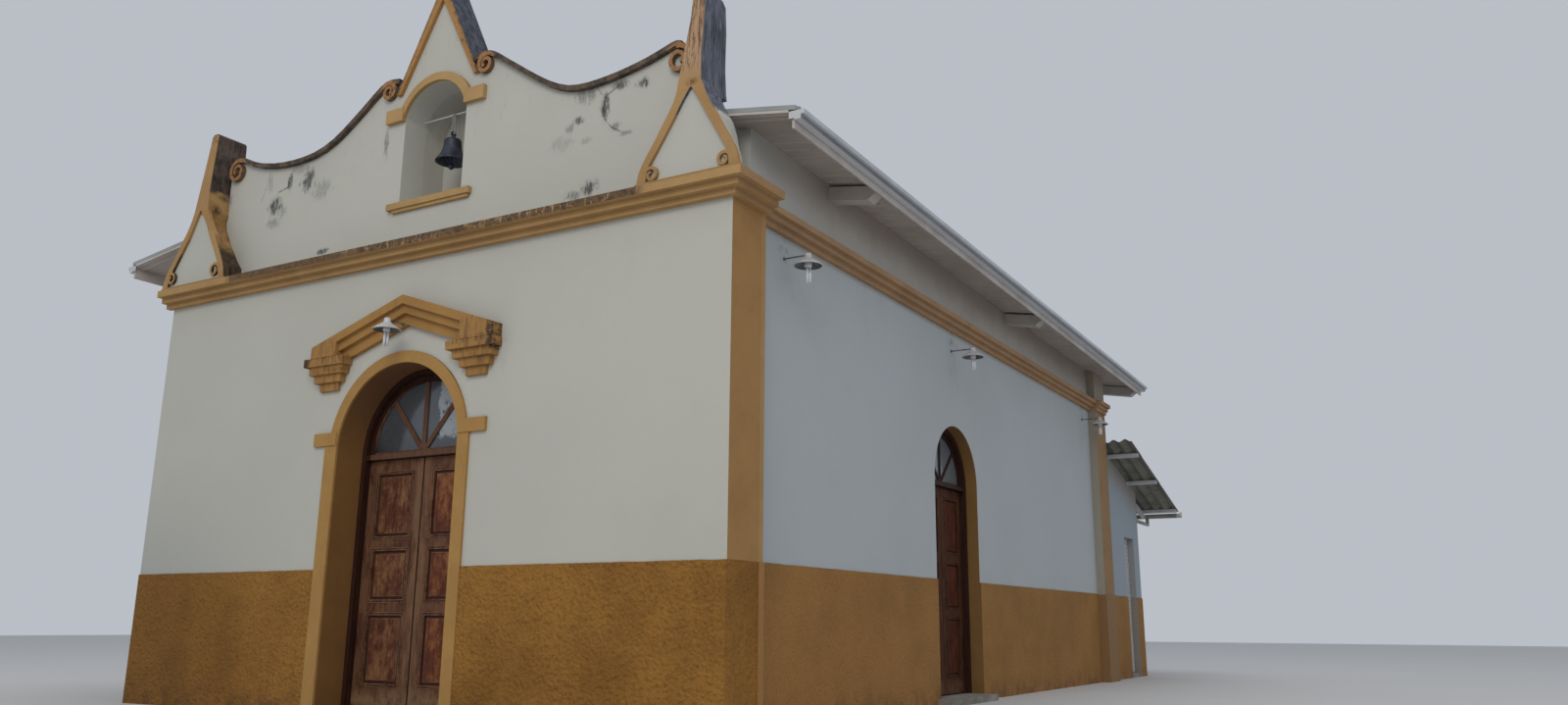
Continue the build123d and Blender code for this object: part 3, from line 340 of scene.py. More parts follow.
def crack_line(g, pts, width=0.004, wobble=0.03):
    """A wandering hairline along a polyline in the plane of the front."""
    off = g.mul(g.sub(g.noise(7.0, 5.0, 0.7), 0.5), wobble)
    x = g.add(g.x, off)
    best = None
    for (xa, za), (xb, zb) in zip(pts[:-1], pts[1:]):
        ln = math.hypot(xb - xa, zb - za)
        ux, uz = (xb - xa) / ln, (zb - za) / ln
        dx, dz = g.sub(x, xa), g.sub(g.z, za)
        t = g.m("MINIMUM", g.m("MAXIMUM", g.add(g.mul(dx, ux), g.mul(dz, uz)), 0.0), ln)
        ex, ez = g.sub(dx, g.mul(t, ux)), g.sub(dz, g.mul(t, uz))
        d = g.m("SQRT", g.add(g.mul(ex, ex), g.mul(ez, ez)))
        best = d if best is None else g.m("MINIMUM", best, d)
    return g.step(best, width * 1.5, width * 0.3)


def parapet_material(name, smudges, cracks=()):
    """White render with specked black mould, wandering hairlines and dirt along the foot."""
    g = Graph(name)
    col = plaster_white(g, WHITE, 0.06)
    grey = g.mix(g.step(g.noise(75.0, 4.0, 0.7), 0.4, 0.6), MOULD, (0.14, 0.135, 0.125))
    for s in smudges:
        k = s[4]
        v = smudge(g, s[0], s[1], s[2], s[3], slant=s[5] if len(s) > 5 else 0.0)
        col = g.mix(g.mul(v, k), col, grey)
        # pale grey wash round each stain
        col = g.mix(g.mul(g.blot(s[0], s[1], s[2] * 1.2, s[3] * 1.2), 0.10 * k), col, (0.22, 0.22, 0.21))
    for pts, w, k in cracks:
        broken = g.step(g.noise(11.0, 4.0, 0.7), 0.40, 0.54)
        col = g.mix(g.mul(crack_line(g, pts, w), broken, k * 0.74), col, MOULD)
    low = g.mul(g.step(g.z, 4.345, 4.29), g.step(g.noise(9.0, 5.0, 0.7), 0.45, 0.7), 0.45)
    col = g.mix(low, col, (0.17, 0.155, 0.13))
    top_wash = g.mul(g.step(g.noise(17.0, 5.0, 0.7, g.scaled(1, 1, 0.25)), 0.56, 0.72), g.step(g.z, 5.0, 5.8), 0.26)
    col = g.mix(top_wash, col, (0.20, 0.195, 0.18))
    rear = g.step(g.ny, 0.3, 0.6)
    col = g.mix(g.mul(rear, g.step(g.noise(2.0, 6.0, 0.7), 0.42, 0.66), 0.5), col, (0.22, 0.21, 0.19))
    return g.done(col, 0.88, g.bump(trowel_height(g), 0.28, 0.02), spec=0.2)


# ------------------------------------------------------------------ ochre trim
def ochre_color(g, hue=OCHRE):
    a = g.noise(2.4, 5.0, 0.6)
    b = g.noise(11.0, 5.0, 0.65)
    col = g.mix(g.step(a, 0.35, 0.7), hue, tuple(c * k for c, k in zip(hue, (0.88, 0.86, 0.84))))
    return g.mix(g.mul(g.step(b, 0.5, 0.75), 0.25), col, tuple(c * k for c, k in zip(hue, (0.76, 0.70, 0.66))))


def trim_material(name, hue=OCHRE, dirt=0.25, kind=""):
    g = Graph(name)
    col = ochre_color(g, hue)
    up = g.step(g.nz, 0.3, 0.8)
    col = g.mix(g.mul(up, g.step(g.noise(8.0, 5.0, 0.7), 0.30, 0.6), 0.85), col, BROWN)
    n = g.noise(5.0, 6.0, 0.7, g.scaled(1, 1, 0.35))
    col = g.mix(g.mul(g.step(n, 0.54, 0.76), dirt), col, (0.16, 0.085, 0.035))
    h = g.add(g.noise(34.0, 4.0, 0.6), g.mul(g.noise(4.0, 3.0), 0.8))
    nrm = g.bump(h, 0.28, 0.008)
    if kind == "pilaster":
        # ochre on the outward faces, pale cream on the returns above the coat at the foot
        ret = g.mul(g.step(g.m("ABSOLUTE", g.nx), 0.6, 0.4), g.step(g.z, 1.272, 1.280))
        col = g.mix(ret, col, plaster_white(g, CREAM))
        d = dado_mask(g)
        nrm = g.bump(h, 0.20, 0.008, g.bump(g.mul(roughcast_height(g, 85.0), d), 0.7, 0.008))
        col = g.mix(g.mul(d, 0.75), col, (0.355, 0.175, 0.056))
        col = g.mix(g.mul(g.step(g.y, 10.40, 10.45), 0.42), col, (0.170, 0.130, 0.090))
        # above the cornice the rear pilaster takes the beige of the wall strip there: painted shade under the eaves
        upper = g.mul(g.step(g.y, 10.40, 10.45), g.step(g.z, 4.238, 4.243))
        col = g.mix(upper, col, (0.40, 0.340, 0.275))
    if kind == "hood":
        # brown dribbles from the ledges of the corbels, dark at their ends, black run near the right end
        tier = g.mul(g.mx(g.between(g.z, 3.200, 3.270, 0.006), g.between(g.z, 3.120, 3.160, 0.006)),
                     g.step(g.noise(30.0, 6.0, 0.75, g.scaled(1, 1, 0.25)), 0.47, 0.60), 0.65)
        sides = g.step(g.m("ABSOLUTE", g.sub(g.x, 0.05)), 0.60, 0.64)
        col = g.mix(g.mul(tier, sides), col, (0.115, 0.062, 0.032))
        tl = g.mul(g.step(g.x, -1.110, -1.150), g.between(g.z, 3.185, 3.275, 0.006), 0.9)
        col = g.mix(tl, col, (0.055, 0.030, 0.020))
        edge = g.add(g.x, g.mul(g.sub(g.noise(9.0, 5.0, 0.7), 0.5), 0.10))
        blk = g.mul(g.between(edge, 1.165, 1.238, 0.014), g.between(g.z, 3.13, 3.42, 0.03), g.step(g.noise(34.0, 6.0, 0.7), 0.36, 0.50), 0.92)
        col = g.mix(blk, col, (0.030, 0.024, 0.022))
        ends = g.mul(g.mx(g.between(g.x, -1.100, -0.760, 0.02), g.between(g.x, 0.850, 1.230, 0.02)), g.step(g.z, 3.46, 3.40), g.step(g.ny, -0.4, -0.7),
                     g.step(g.noise(22.0, 6.0, 0.75, g.scaled(1, 1, 0.16)), 0.45, 0.62), 0.66)
        col = g.mix(ends, col, (0.150, 0.080, 0.042))
        apex = g.mul(g.step(g.noise(26.0, 6.0, 0.75, g.scaled(1, 1, 0.3)), 0.55, 0.68), g.step(g.z, 3.45, 3.62), 0.4)
        col = g.mix(apex, col, (0.15, 0.085, 0.04))
    return g.done(col, 0.82, nrm, spec=0.2)


def cornice_material(name):
    g = Graph(name)
    col = ochre_color(g, (0.460, 0.284, 0.122))
    # the uppermost fillet: brown on the left half, then patches of it, clean towards the right corner
    topmost = g.mul(g.step(g.z, 4.2145, 4.2165), g.step(g.ny, -0.5, -0.7))
    patch = g.noise(11.0, 6.0, 0.75, g.scaled(1.0, 1.0, 0.20))
    along = g.add(g.x, g.mul(g.sub(patch, 0.5), 1.2))
    solid_brown = g.mul(g.step(along, -0.1, -0.8), g.step(g.add(g.x, g.mul(g.sub(patch, 0.5), 0.5)), -2.50, -2.36))
    flaked = g.mul(g.step(g.add(g.mul(patch, 0.6), g.mul(g.noise(32.0, 5.0, 0.7), 0.4)), 0.385, 0.475), g.step(g.x, 2.88, 2.75), g.step(g.x, -1.2, -0.4))
    m = g.mul(topmost, g.mx(g.mul(solid_brown, 0.92), flaked))
    stain = g.mix(g.step(g.noise(21.0, 5.0, 0.7), 0.38, 0.62), (0.060, 0.040, 0.027), (0.150, 0.090, 0.050))
    pale = g.mul(topmost, flaked, g.step(g.noise(17.0, 5.0, 0.7), 0.57, 0.66))
    col = g.mix(g.mul(m, 0.94), col, stain)
    col = g.mix(g.mul(pale, 0.8), col, (0.36, 0.30, 0.22))
    up = g.step(g.nz, 0.3, 0.8)
    col = g.mix(g.mul(up, 0.9), col, (0.060, 0.045, 0.034))
    n = g.noise(6.0, 6.0, 0.7, g.scaled(1, 1, 0.4))
    col = g.mix(g.mul(g.step(n, 0.57, 0.77), 0.35), col, (0.16, 0.085, 0.035))
    ret = g.mul(g.step(g.nx, 0.5, 0.7), 0.55)
    col = g.mix(ret, col, (0.34, 0.195, 0.115))
    h = g.add(g.noise(34.0, 4.0, 0.6), g.mul(g.noise(4.0, 3.0), 0.8))
    return g.done(col, 0.84, g.bump(h, 0.3, 0.008), spec=0.2)


def coping_material(name, scrolls):
    """Curved rails gone grey-brown with mould; the scrolls keep their faded ochre."""
    g = Graph(name)
    ochre = ochre_color(g, (0.400, 0.205, 0.088))
    n = g.noise(9.0, 6.0, 0.7)
    dark = g.mix(g.step(n, 0.36, 0.66), (0.058, 0.046, 0.038), (0.155, 0.115, 0.085))
    keep = None
    for (cx, cz, r) in scrolls:
        b = g.step(g.blot(cx, cz, r, r), 0.03, 0.12)
        keep = b if keep is None else g.mx(keep, b)
    side = g.step(g.ny, -0.3, -0.7)
    worn = g.step(g.noise(22.0, 6.0, 0.75), 0.62, 0.50)
    keep = g.mul(keep, g.mx(side, 0.35), g.mx(worn, 0.35))
    col = g.mix(keep, dark, ochre)
    rim = g.mul(g.step(g.noise(16.0, 5.0), 0.52, 0.68), side, 0.30)
    col = g.mix(rim, col, (0.26, 0.17, 0.105))
    top = g.mul(g.step(g.nz, 0.2, 0.5), 0.6)
    col = g.mix(top, col, (0.050, 0.040, 0.034))
    return g.done(col, 0.9, g.bump(g.noise(40.0, 5.0, 0.7), 0.5, 0.008), spec=0.15)


def gable_coping_material(name):
    g = Graph(name)
    ochre = ochre_color(g, (0.42, 0.225, 0.085))
    n = g.noise(14.0, 6.0, 0.75)
    front = g.step(g.ny, -0.3, -0.7)
    # distance across the band: flaked to brown along its outer edge and in patches
    across = g.add(g.m("ABSOLUTE", g.sub(g.x, 0.015)), g.mul(g.sub(g.z, 7.125), 0.4863))
    edge = g.mul(g.step(across, -0.045, 0.0), g.step(n, 0.42, 0.56))
    patchy = g.mul(g.step(g.noise(8.0, 6.0, 0.75), 0.56, 0.64), 0.75)
    face = g.mix(g.mx(edge, patchy), ochre, g.mix(g.step(n, 0.4, 0.6), (0.085, 0.048, 0.030), (0.19, 0.115, 0.070)))
    out = g.mix(g.step(g.noise(20.0, 6.0, 0.7, g.scaled(1, 1, 0.3)), 0.35, 0.7), (0.036, 0.040, 0.054), (0.110, 0.116, 0.140))
    inner = g.mix(g.mul(g.step(n, 0.55, 0.70), 0.5), ochre, (0.15, 0.085, 0.045))
    body = g.mix(g.step(g.nz, 0.05, 0.2), inner, out)
    col = g.mix(front, body, face)
    back = g.step(g.ny, 0.5, 0.8)
    col = g.mix(back, col, g.mix(g.step(n, 0.4, 0.6), (0.06, 0.052, 0.048), (0.17, 0.14, 0.11)))
    return g.done(col, 0.9, g.bump(g.noise(40.0, 5.0, 0.7), 0.4, 0.008), spec=0.15)


def pinnacle_material(name, left):
    g = Graph(name)
    ochre = ochre_color(g, (0.428, 0.258, 0.112))
    white = plaster_white(g, WHITE, 0.06)
    front = g.step(g.ny, -0.6, -0.9)
    # the sunk infill between the legs is white
    face_y = g.m("MULTIPLY_ADD", g.sub(g.z, 4.35), 0.0293, -0.100)
    low_y = g.mx(face_y, -0.100)
    deep = g.step(g.sub(g.y, low_y), 0.013, 0.019)
    infill = g.mul(front, deep, g.step(g.z, 5.14, 5.11), g.step(g.y, 0.10, 0.05))
    vert = g.noise(24.0, 7.0, 0.75, g.scaled(1, 1, 0.10))
    fine = g.noise(60.0, 5.0, 0.7, g.scaled(1, 1, 0.08))
    if left:
        # paler, faintly streaked shaft
        fcol = g.mix(g.mul(g.step(vert, 0.50, 0.62), g.step(g.z, 5.1, 5.6), 0.35), ochre, (0.30, 0.175, 0.095))
        lip = g.mul(g.step(g.z, 5.94, 6.02), g.step(g.noise(22.0, 5.0), 0.40, 0.55), 0.7)
        fcol = g.mix(lip, fcol, (0.16, 0.105, 0.070))
    else:
        # the shaft is worn pinkish brown in long streaks
        pink = g.mix(g.step(g.z, 5.10, 5.42), ochre, (0.445, 0.295, 0.175))
        worn = g.mul(g.step(g.z, 5.18, 5.50), g.step(g.add(vert, g.mul(g.sub(fine, 0.5), 0.60)), 0.46, 0.56), 0.85)
        fcol = g.mix(worn, pink, (0.205, 0.110, 0.068))
        thin = g.mul(g.step(g.z, 5.22, 5.34), g.step(fine, 0.52, 0.60), 0.62)
        fcol = g.mix(thin, fcol, (0.120, 0.062, 0.042))
        knot = g.mul(g.blot(3.225, 5.150, 0.085, 0.055), g.step(fine, 0.40, 0.52), 0.85)
        fcol = g.mix(knot, fcol, (0.085, 0.045, 0.030))
    flake = g.mul(g.step(g.noise(18.0, 6.0, 0.75), 0.60, 0.72), 0.45)
    fcol = g.mix(flake, fcol, (0.17, 0.095, 0.045))
    fcol = g.mix(infill, fcol, white)
    # sides: slate-black mould above, white shoulder behind the flare below
    slate = g.mix(g.step(g.add(g.mul(vert, 0.5), g.mul(fine, 0.5)), 0.40, 0.60), (0.054, 0.059, 0.077), (0.190, 0.200, 0.242))
    brown = g.mix(g.step(g.add(g.mul(vert, 0.5), g.mul(g.noise(6.0, 6.0, 0.7), 0.5)), 0.40, 0.62), (0.030, 0.025, 0.024), (0.125, 0.088, 0.070))
    inner = g.step(g.nx, 0.05, 0.25) if left else g.step(g.nx, -0.05, -0.25)
    high = g.mix(inner, slate, brown)
    n = g.noise(6.0, 5.0, 0.6)
    if left:
        patchy = g.mul(g.step(g.noise(7.0, 6.0, 0.75), 0.56, 0.68), 0.45)
        mid = g.mix(patchy, g.mix(g.step(n, 0.4, 0.6), ochre, (0.30, 0.165, 0.060)), (0.115, 0.066, 0.036))
        ragged = g.step(g.noise(16.0, 6.0, 0.75), 0.34, 0.50)
        for cy, cz, ry, rz, k in ((0.03, 5.185, 0.085, 0.075, 0.92), (0.12, 5.350, 0.12, 0.06, 0.70), (-0.02, 5.43, 0.10, 0.07, 0.8)):
            mid = g.mix(g.mul(g.blot(cy, cz, ry, rz, g.y), ragged, k), mid, (0.040, 0.030, 0.026))
        edge_dark = g.mul(g.step(g.y, 0.150, 0.178), g.step(g.noise(9.0, 5.0, 0.7), 0.42, 0.55), 0.5)
        mid = g.mix(edge_dark, mid, (0.10, 0.07, 0.05))
        change = (5.36, 5.42)
    else:
        patchy = g.mul(g.step(g.noise(7.0, 6.0, 0.75), 0.52, 0.62), 0.85)
        mid = g.mix(patchy, g.mix(g.step(n, 0.4, 0.6), ochre, (0.30, 0.175, 0.075)), (0.085, 0.050, 0.032))
        change = (4.88, 4.93)
    footdark = g.step(g.add(g.z, g.mul(n, 0.16), g.mul(g.noise(30.0, 4.0), 0.14)), 4.95, 4.78)
    mid = g.mix(g.mul(footdark, 0.94), mid, g.mix(g.step(vert, 0.4, 0.6), (0.024, 0.020, 0.019), (0.085, 0.060, 0.040)))
    outer_low = g.mix(g.step(g.y, -0.062, -0.048), ochre, g.mix(g.mul(g.step(g.noise(14.0, 5.0), 0.5, 0.7), 0.4), white, (0.27, 0.27, 0.26)))
    low = g.mix(inner, outer_low, mid)
    scol = g.mix(g.step(g.add(g.z, g.mul(g.sub(n, 0.5), 0.16), g.mul(g.sub(g.noise(26.0, 5.0, 0.7), 0.5), 0.12)), change[0], change[1]), low, high)
    col = g.mix(front, scol, fcol)
    top = g.step(g.nz, 0.6, 0.9)
    col = g.mix(g.mul(top, g.step(g.z, 5.9, 6.0)), col, (0.04, 0.037, 0.036))
    back = g.step(g.ny, 0.5, 0.8)
    col = g.mix(back, col, g.mix(g.step(n, 0.4, 0.6), (0.05, 0.047, 0.045), (0.14, 0.12, 0.10)))
    return g.done(col, 0.88, g.bump(g.add(g.noise(36.0, 5.0, 0.7), g.mul(vert, 0.6)), 0.42, 0.008), spec=0.15)


# ------------------------------------------------------------------ joinery, metal, glass
def wood_material(name, across, panels=(), z_rows=(), worn_k=1.0, middle=None, dark_k=1.0, red=(1.0, 1.0, 1.0), floor_z=0.07, fan=0.0, sheen=0.7):
    """Dark varnished timber. Fields of the panels are worn and blotchy, the grooves and bevels round them darkened with
    painted shade, and the mould's edges lined pale with painted highlights over worn varnish.
    """
    g = Graph(name)
    h = g.x if across == "x" else g.y
    grain = g.noise(38.0, 6.0, 0.68, g.scaled(1, 1, 0.07), 0.8)
    fine = g.noise(160.0, 4.0, 0.6, g.scaled(1, 1, 0.05))
    blotch = g.add(g.noise(10.0, 7.0, 0.74, g.scaled(1, 1, 0.62)), g.mul(g.sub(grain, 0.5), 0.30))
    dark = g.mix(g.step(grain, 0.35, 0.68), tuple(c * dark_k for c in (0.048, 0.016, 0.010)), tuple(c * dark_k for c in (0.100, 0.036, 0.020)))
    low_c, high_c = tuple(c * r for c, r in zip((0.105, 0.032, 0.016), red)), tuple(c * r for c, r in zip((0.262, 0.126, 0.054), red))
    worn = g.mix(g.step(blotch, 0.42, 0.72), low_c, high_c)
    col = dark
    if panels:
        inset = None
        for (a, b) in panels:
            for (z0, z1) in z_rows:
                across_d = g.m("MINIMUM", g.sub(h, a), g.sub(b, h))
                up_d = g.m("MINIMUM", g.sub(g.z, z0), g.sub(z1, g.z))
                d = g.m("MINIMUM", across_d, up_d)
                inset = d if inset is None else g.mx(inset, d)
        # rails and stiles: dark with rubbed patches
        out = g.mul(g.step(inset, 0.004, -0.004), g.step(g.noise(8.0, 6.0, 0.74, g.scaled(1, 1, 0.40)), 0.34, 0.60), 0.80 * worn_k)
        col = g.mix(out, col, g.mix(0.3, (0.185, 0.098, 0.050), worn))
        mould = g.mul(g.between(inset, 0.000, 0.028, 0.002), g.step(blotch, 0.44, 0.62), 0.50 * worn_k)
        col = g.mix(mould, col, worn)
        # the groove and the bevel round each field are painted dark: painted shade in the recess
        groove = g.between(inset, 0.031, 0.045, 0.004)
        col = g.mix(g.mul(groove, 0.62), col, (0.034, 0.012, 0.008))
        bevel = g.between(inset, 0.046, 0.060, 0.002)
        col = g.mix(g.mul(bevel, 0.75), col, (0.075, 0.026, 0.015))
        field = g.mul(g.step(inset, 0.058, 0.062), g.step(blotch, 0.26, 0.54), worn_k)
        col = g.mix(field, col, worn)
        # thin pale lines on the mould's edges: painted highlights where light catches them, over worn varnish
        mould_edge_wear_and_highlight = g.mx(g.between(inset, 0.0225, 0.0275, 0.0015), g.between(inset, 0.0575, 0.0620, 0.0015), g.between(inset, -0.0005, 0.0035, 0.0012))
        col = g.mix(g.mul(mould_edge_wear_and_highlight, g.step(g.noise(13.0, 5.0, 0.7), 0.36, 0.54), 0.62 * worn_k), col, (0.360, 0.225, 0.125))
        foot = g.mul(g.step(g.z, floor_z + 0.20, floor_z + 0.04), g.step(inset, 0.004, -0.004), g.step(g.noise(12.0, 6.0, 0.7), 0.34, 0.58), 0.75 * worn_k)
        col = g.mix(foot, col, (0.265, 0.155, 0.082))
    if fan:
        # spokes, hub and transom of the fanlight are lighter and redder than the frame round them
        fx, fz = g.add(g.x, 0.003), g.sub(g.z, 2.362)
        r = g.m("SQRT", g.add(g.mul(fx, fx), g.mul(fz, fz)))
        spokes = g.mul(g.step(r, fan, fan - 0.006), g.step(g.z, 2.305, 2.310), g.step(g.m("ABSOLUTE", g.sub(g.x, 0.025)), 0.664, 0.660))
        col = g.mix(g.mul(spokes, 0.9), col, g.mix(g.step(grain, 0.36, 0.66), (0.105, 0.048, 0.029), (0.165, 0.082, 0.050)))
    if middle is not None:
        band = g.mul(g.between(h, middle - 0.085, middle + 0.085, 0.02), g.step(g.noise(12.0, 6.0, 0.72, g.scaled(1, 1, 0.20)), 0.38, 0.60), 0.62)
        col = g.mix(band, col, (0.235, 0.130, 0.068))
        gap = g.between(h, middle - 0.008, middle + 0.008, 0.002)
        col = g.mix(gap, col, (0.012, 0.005, 0.004))
    nrm = g.bump(g.add(grain, g.mul(fine, 0.35)), 0.18, 0.004)
    return g.done(col, g.m("MULTIPLY_ADD", grain, 0.22, 0.50), nrm, spec=0.30 * sheen)


def metal_material(name, a, b, rough=0.5, scale=5.0, metal=0.0, spec=0.4, streak=0.5, dirt=None, dirt_k=0.4):
    g = Graph(name)
    n = g.noise(scale, 5.0, 0.65, g.scaled(1, 1, streak))
    col = g.mix(g.step(n, 0.38, 0.66), a, b)
    if dirt is not None:
        col = g.mix(g.mul(g.step(g.noise(scale * 2.7, 6.0, 0.75), 0.55, 0.75), dirt_k), col, dirt)
    return g.done(col, g.m("MULTIPLY_ADD", n, 0.2, rough - 0.1), g.bump(g.noise(scale * 12, 3.0), 0.06, 0.004), metal, spec)


def gutter_material(name):
    """Grey-blue box with a pale outer lip, a white plate over the front end and pale ends on the rear pipe."""
    g = Graph(name)
    n = g.noise(2.0, 5.0, 0.65, g.scaled(1, 1, 0.5))
    out = g.mx(g.sub(g.x, 4.05), g.sub(-4.85, g.x))
    box = g.mix(g.step(n, 0.38, 0.66), (0.255, 0.275, 0.305), (0.195, 0.212, 0.240))
    lip = g.mix(g.step(n, 0.38, 0.66), (0.54, 0.56, 0.585), (0.44, 0.46, 0.485))
    col = g.mix(g.step(out, 0.0505, 0.0525), box, lip)
    col = g.mix(g.mul(g.step(g.nz, -0.6, -0.85), g.step(g.y, 12.3, 12.2)), col, (0.60, 0.61, 0.63))
    col = g.mix(g.step(g.ny, -0.5, -0.8), col, (0.55, 0.56, 0.56))
    rear = g.step(g.y, 12.2, 12.3)
    pipe = g.mix(g.step(n, 0.38, 0.66), (0.30, 0.27, 0.24), (0.20, 0.185, 0.17))
    pipe = g.mix(g.step(g.m("ABSOLUTE", g.x), 3.955, 3.960), pipe, (0.50, 0.49, 0.47))
    col = g.mix(rear, col, pipe)
    col = g.mix(g.mul(g.step(g.noise(5.4, 6.0, 0.75), 0.57, 0.76), 0.35), col, (0.20, 0.20, 0.20))
    return g.done(col, g.m("MULTIPLY_ADD", n, 0.2, 0.35), g.bump(g.noise(24.0, 3.0), 0.06, 0.004), spec=0.4)


def eaves_material(name, a, b, dirt, k):
    """Painted boards and panels under the eaves: beige-white with brown water marks."""
    g = Graph(name)
    n = g.noise(1.5, 5.0, 0.65)
    col = g.mix(g.step(n, 0.36, 0.66), a, b)
    col = g.mix(g.mul(g.step(g.noise(9.0, 6.0, 0.75, g.scaled(1, 0.4, 1)), 0.54, 0.74), k), col, dirt)
    return g.done(col, 0.62, g.bump(g.noise(18.0, 3.0), 0.08, 0.004), spec=0.25)


def glass_material(name):
    """Dark panes with a soft pale film, a painted reflection of the sky with ragged leafy edges over their right part,
    and a mirror-like coat.
    """
    g = Graph(name)
    n = g.noise(2.2, 4.0, 0.6)
    col = g.mix(g.step(n, 0.35, 0.65), (0.036, 0.043, 0.052), (0.062, 0.072, 0.084))
    film = g.mul(g.step(g.z, 2.42, 2.95), 0.35)
    col = g.mix(film, col, (0.125, 0.140, 0.155))
    # painted reflection of bright sky, its edge ragged with leaves
    ragged = g.add(g.x, g.mul(g.sub(g.noise(9.0, 6.0, 0.75), 0.5), 0.22))
    sky = g.mul(g.between(ragged, 0.17, 0.62, 0.012), g.step(g.add(g.z, g.mul(g.sub(g.noise(7.0, 5.0, 0.7), 0.5), 0.30)), 2.44, 2.50), g.step(g.y, 1.2, 1.0), g.step(g.noise(12.0, 5.0, 0.7), 0.36, 0.44))
    col = g.mix(g.mul(sky, 0.80), col, (0.37, 0.41, 0.44))
    side = g.step(g.y, 1.0, 1.2)
    col = g.mix(g.mul(side, 0.6), col, (0.20, 0.225, 0.25))
    g.bsdf.inputs["Coat Weight"].default_value = 0.5
    g.bsdf.inputs["Coat Roughness"].default_value = 0.06
    return g.done(col, 0.15, g.bump(g.noise(5.0, 2.0), 0.05, 0.01), spec=0.6)


def concrete_material(name):
    g = Graph(name)
    n = g.noise(4.0, 7.0, 0.7)
    f = g.noise(60.0, 4.0, 0.7)
    col = g.mix(g.step(n, 0.35, 0.66), (0.34, 0.315, 0.28), (0.21, 0.19, 0.165))
    col = g.mix(g.mul(g.step(f, 0.55, 0.75), 0.35), col, (0.14, 0.12, 0.10))
    return g.done(col, 0.9, g.bump(g.add(n, g.mul(f, 0.5)), 0.4, 0.008), spec=0.2)


wall_front = wall_material("front_render")
wall_side = wall_material("side_render", side=True)
# stains as (x, z, half width, half height, strength, slant); hairlines as (points, width, strength)
parapet_l = parapet_material("parapet_render_left",
    [(-2.317, 5.140, 0.150, 0.150, 0.95), (-1.815, 5.345, 0.150, 0.190, 0.95), (-2.120, 5.380, 0.060, 0.130, 0.85), (-1.60, 5.20, 0.20, 0.16, 0.35),
     (-1.49, 4.500, 0.13, 0.045, 1.0), (-2.33, 4.95, 0.16, 0.09, 0.45), (-3.110, 5.33, 0.050, 0.14, 0.40), (-1.98, 5.50, 0.20, 0.09, 0.35),
     (-0.670, 5.50, 0.050, 0.22, 0.55), (-2.44, 5.42, 0.06, 0.16, 0.30), (-2.20, 5.06, 0.10, 0.12, 0.35)],
    [([(-2.458, 5.549), (-2.481, 5.462), (-2.523, 5.327), (-2.573, 5.219)], 0.006, 0.75),
     ([(-2.060, 5.53), (-2.081, 5.501), (-2.116, 5.418)], 0.007, 0.85), ([(-2.116, 5.430), (-2.137, 5.319)], 0.014, 0.95),
     ([(-2.137, 5.322), (-2.216, 5.308), (-2.300, 5.290)], 0.009, 0.90)])
parapet_r = parapet_material("parapet_render_right",
    [(2.120, 5.290, 0.075, 0.190, 0.95), (2.300, 5.455, 0.130, 0.070, 0.85), (1.830, 5.215, 0.095, 0.060, 0.95), (1.738, 5.155, 0.08, 0.07, 0.5),
     (2.541, 5.415, 0.100, 0.075, 0.95), (1.988, 4.545, 0.130, 0.110, 0.95), (1.80, 4.50, 0.14, 0.07, 0.6), (1.900, 5.46, 0.20, 0.14, 0.50),
     (2.25, 5.06, 0.10, 0.07, 0.55), (2.36, 4.98, 0.10, 0.04, 0.55), (1.92, 5.00, 0.09, 0.05, 0.30), (1.66, 5.03, 0.20, 0.12, 0.20)],
    [([(2.330, 5.500), (2.290, 5.470), (2.205, 5.418), (2.130, 5.385)], 0.008, 0.9), ([(2.122, 5.385), (2.112, 5.291), (2.122, 5.180)], 0.016, 0.9),
     ([(2.122, 5.180), (2.154, 5.125), (2.210, 5.065), (2.310, 5.005), (2.394, 4.973)], 0.008, 0.85),
     ([(1.770, 5.56), (1.775, 5.46), (1.782, 5.36)], 0.006, 0.55), ([(1.860, 5.54), (1.866, 5.42)], 0.005, 0.5),
     ([(1.938, 5.52), (1.944, 5.34)], 0.006, 0.5), ([(2.030, 5.49), (2.080, 5.41)], 0.006, 0.65)])
parapet_m = parapet_material("parapet_render_middle", [(0.55, 5.55, 0.05, 0.20, 0.45)], [([(0.56, 5.66), (0.55, 5.50), (0.57, 5.35)], 0.006, 0.6)])
trim = trim_material("ochre_trim")
trim_foot = trim_material("ochre_pilaster", hue=(0.445, 0.262, 0.110), dirt=0.10, kind="pilaster")
trim_side = trim_material("ochre_side_cornice", hue=(0.430, 0.268, 0.148), dirt=0.30)
trim_niche = trim_material("ochre_niche_surround", hue=(0.475, 0.300, 0.130), dirt=0.25)
hood = trim_material("ochre_hood", hue=(0.400, 0.216, 0.070), dirt=0.30, kind="hood")
ROWS = [(0.238, 0.900), (0.985, 1.485), (1.562, 2.200)]
SIDE_ROWS = [(0.250, 0.908), (0.975, 1.508), (1.585, 2.232)]
wood_main = wood_material("main_door_wood", "x", [(-0.585, -0.090)], ROWS, 1.0, 0.025)
wood_main_r = wood_material("main_door_wood_right", "x", [(0.140, 0.635)], ROWS, 1.0, 0.025, red=(1.12, 0.92, 0.80))
wood_side = wood_material("side_door_wood", "y", [(4.453, 4.854), (5.036, 5.437)], SIDE_ROWS, 0.40, dark_k=0.72, red=(0.88, 0.50, 0.42), sheen=0.25)
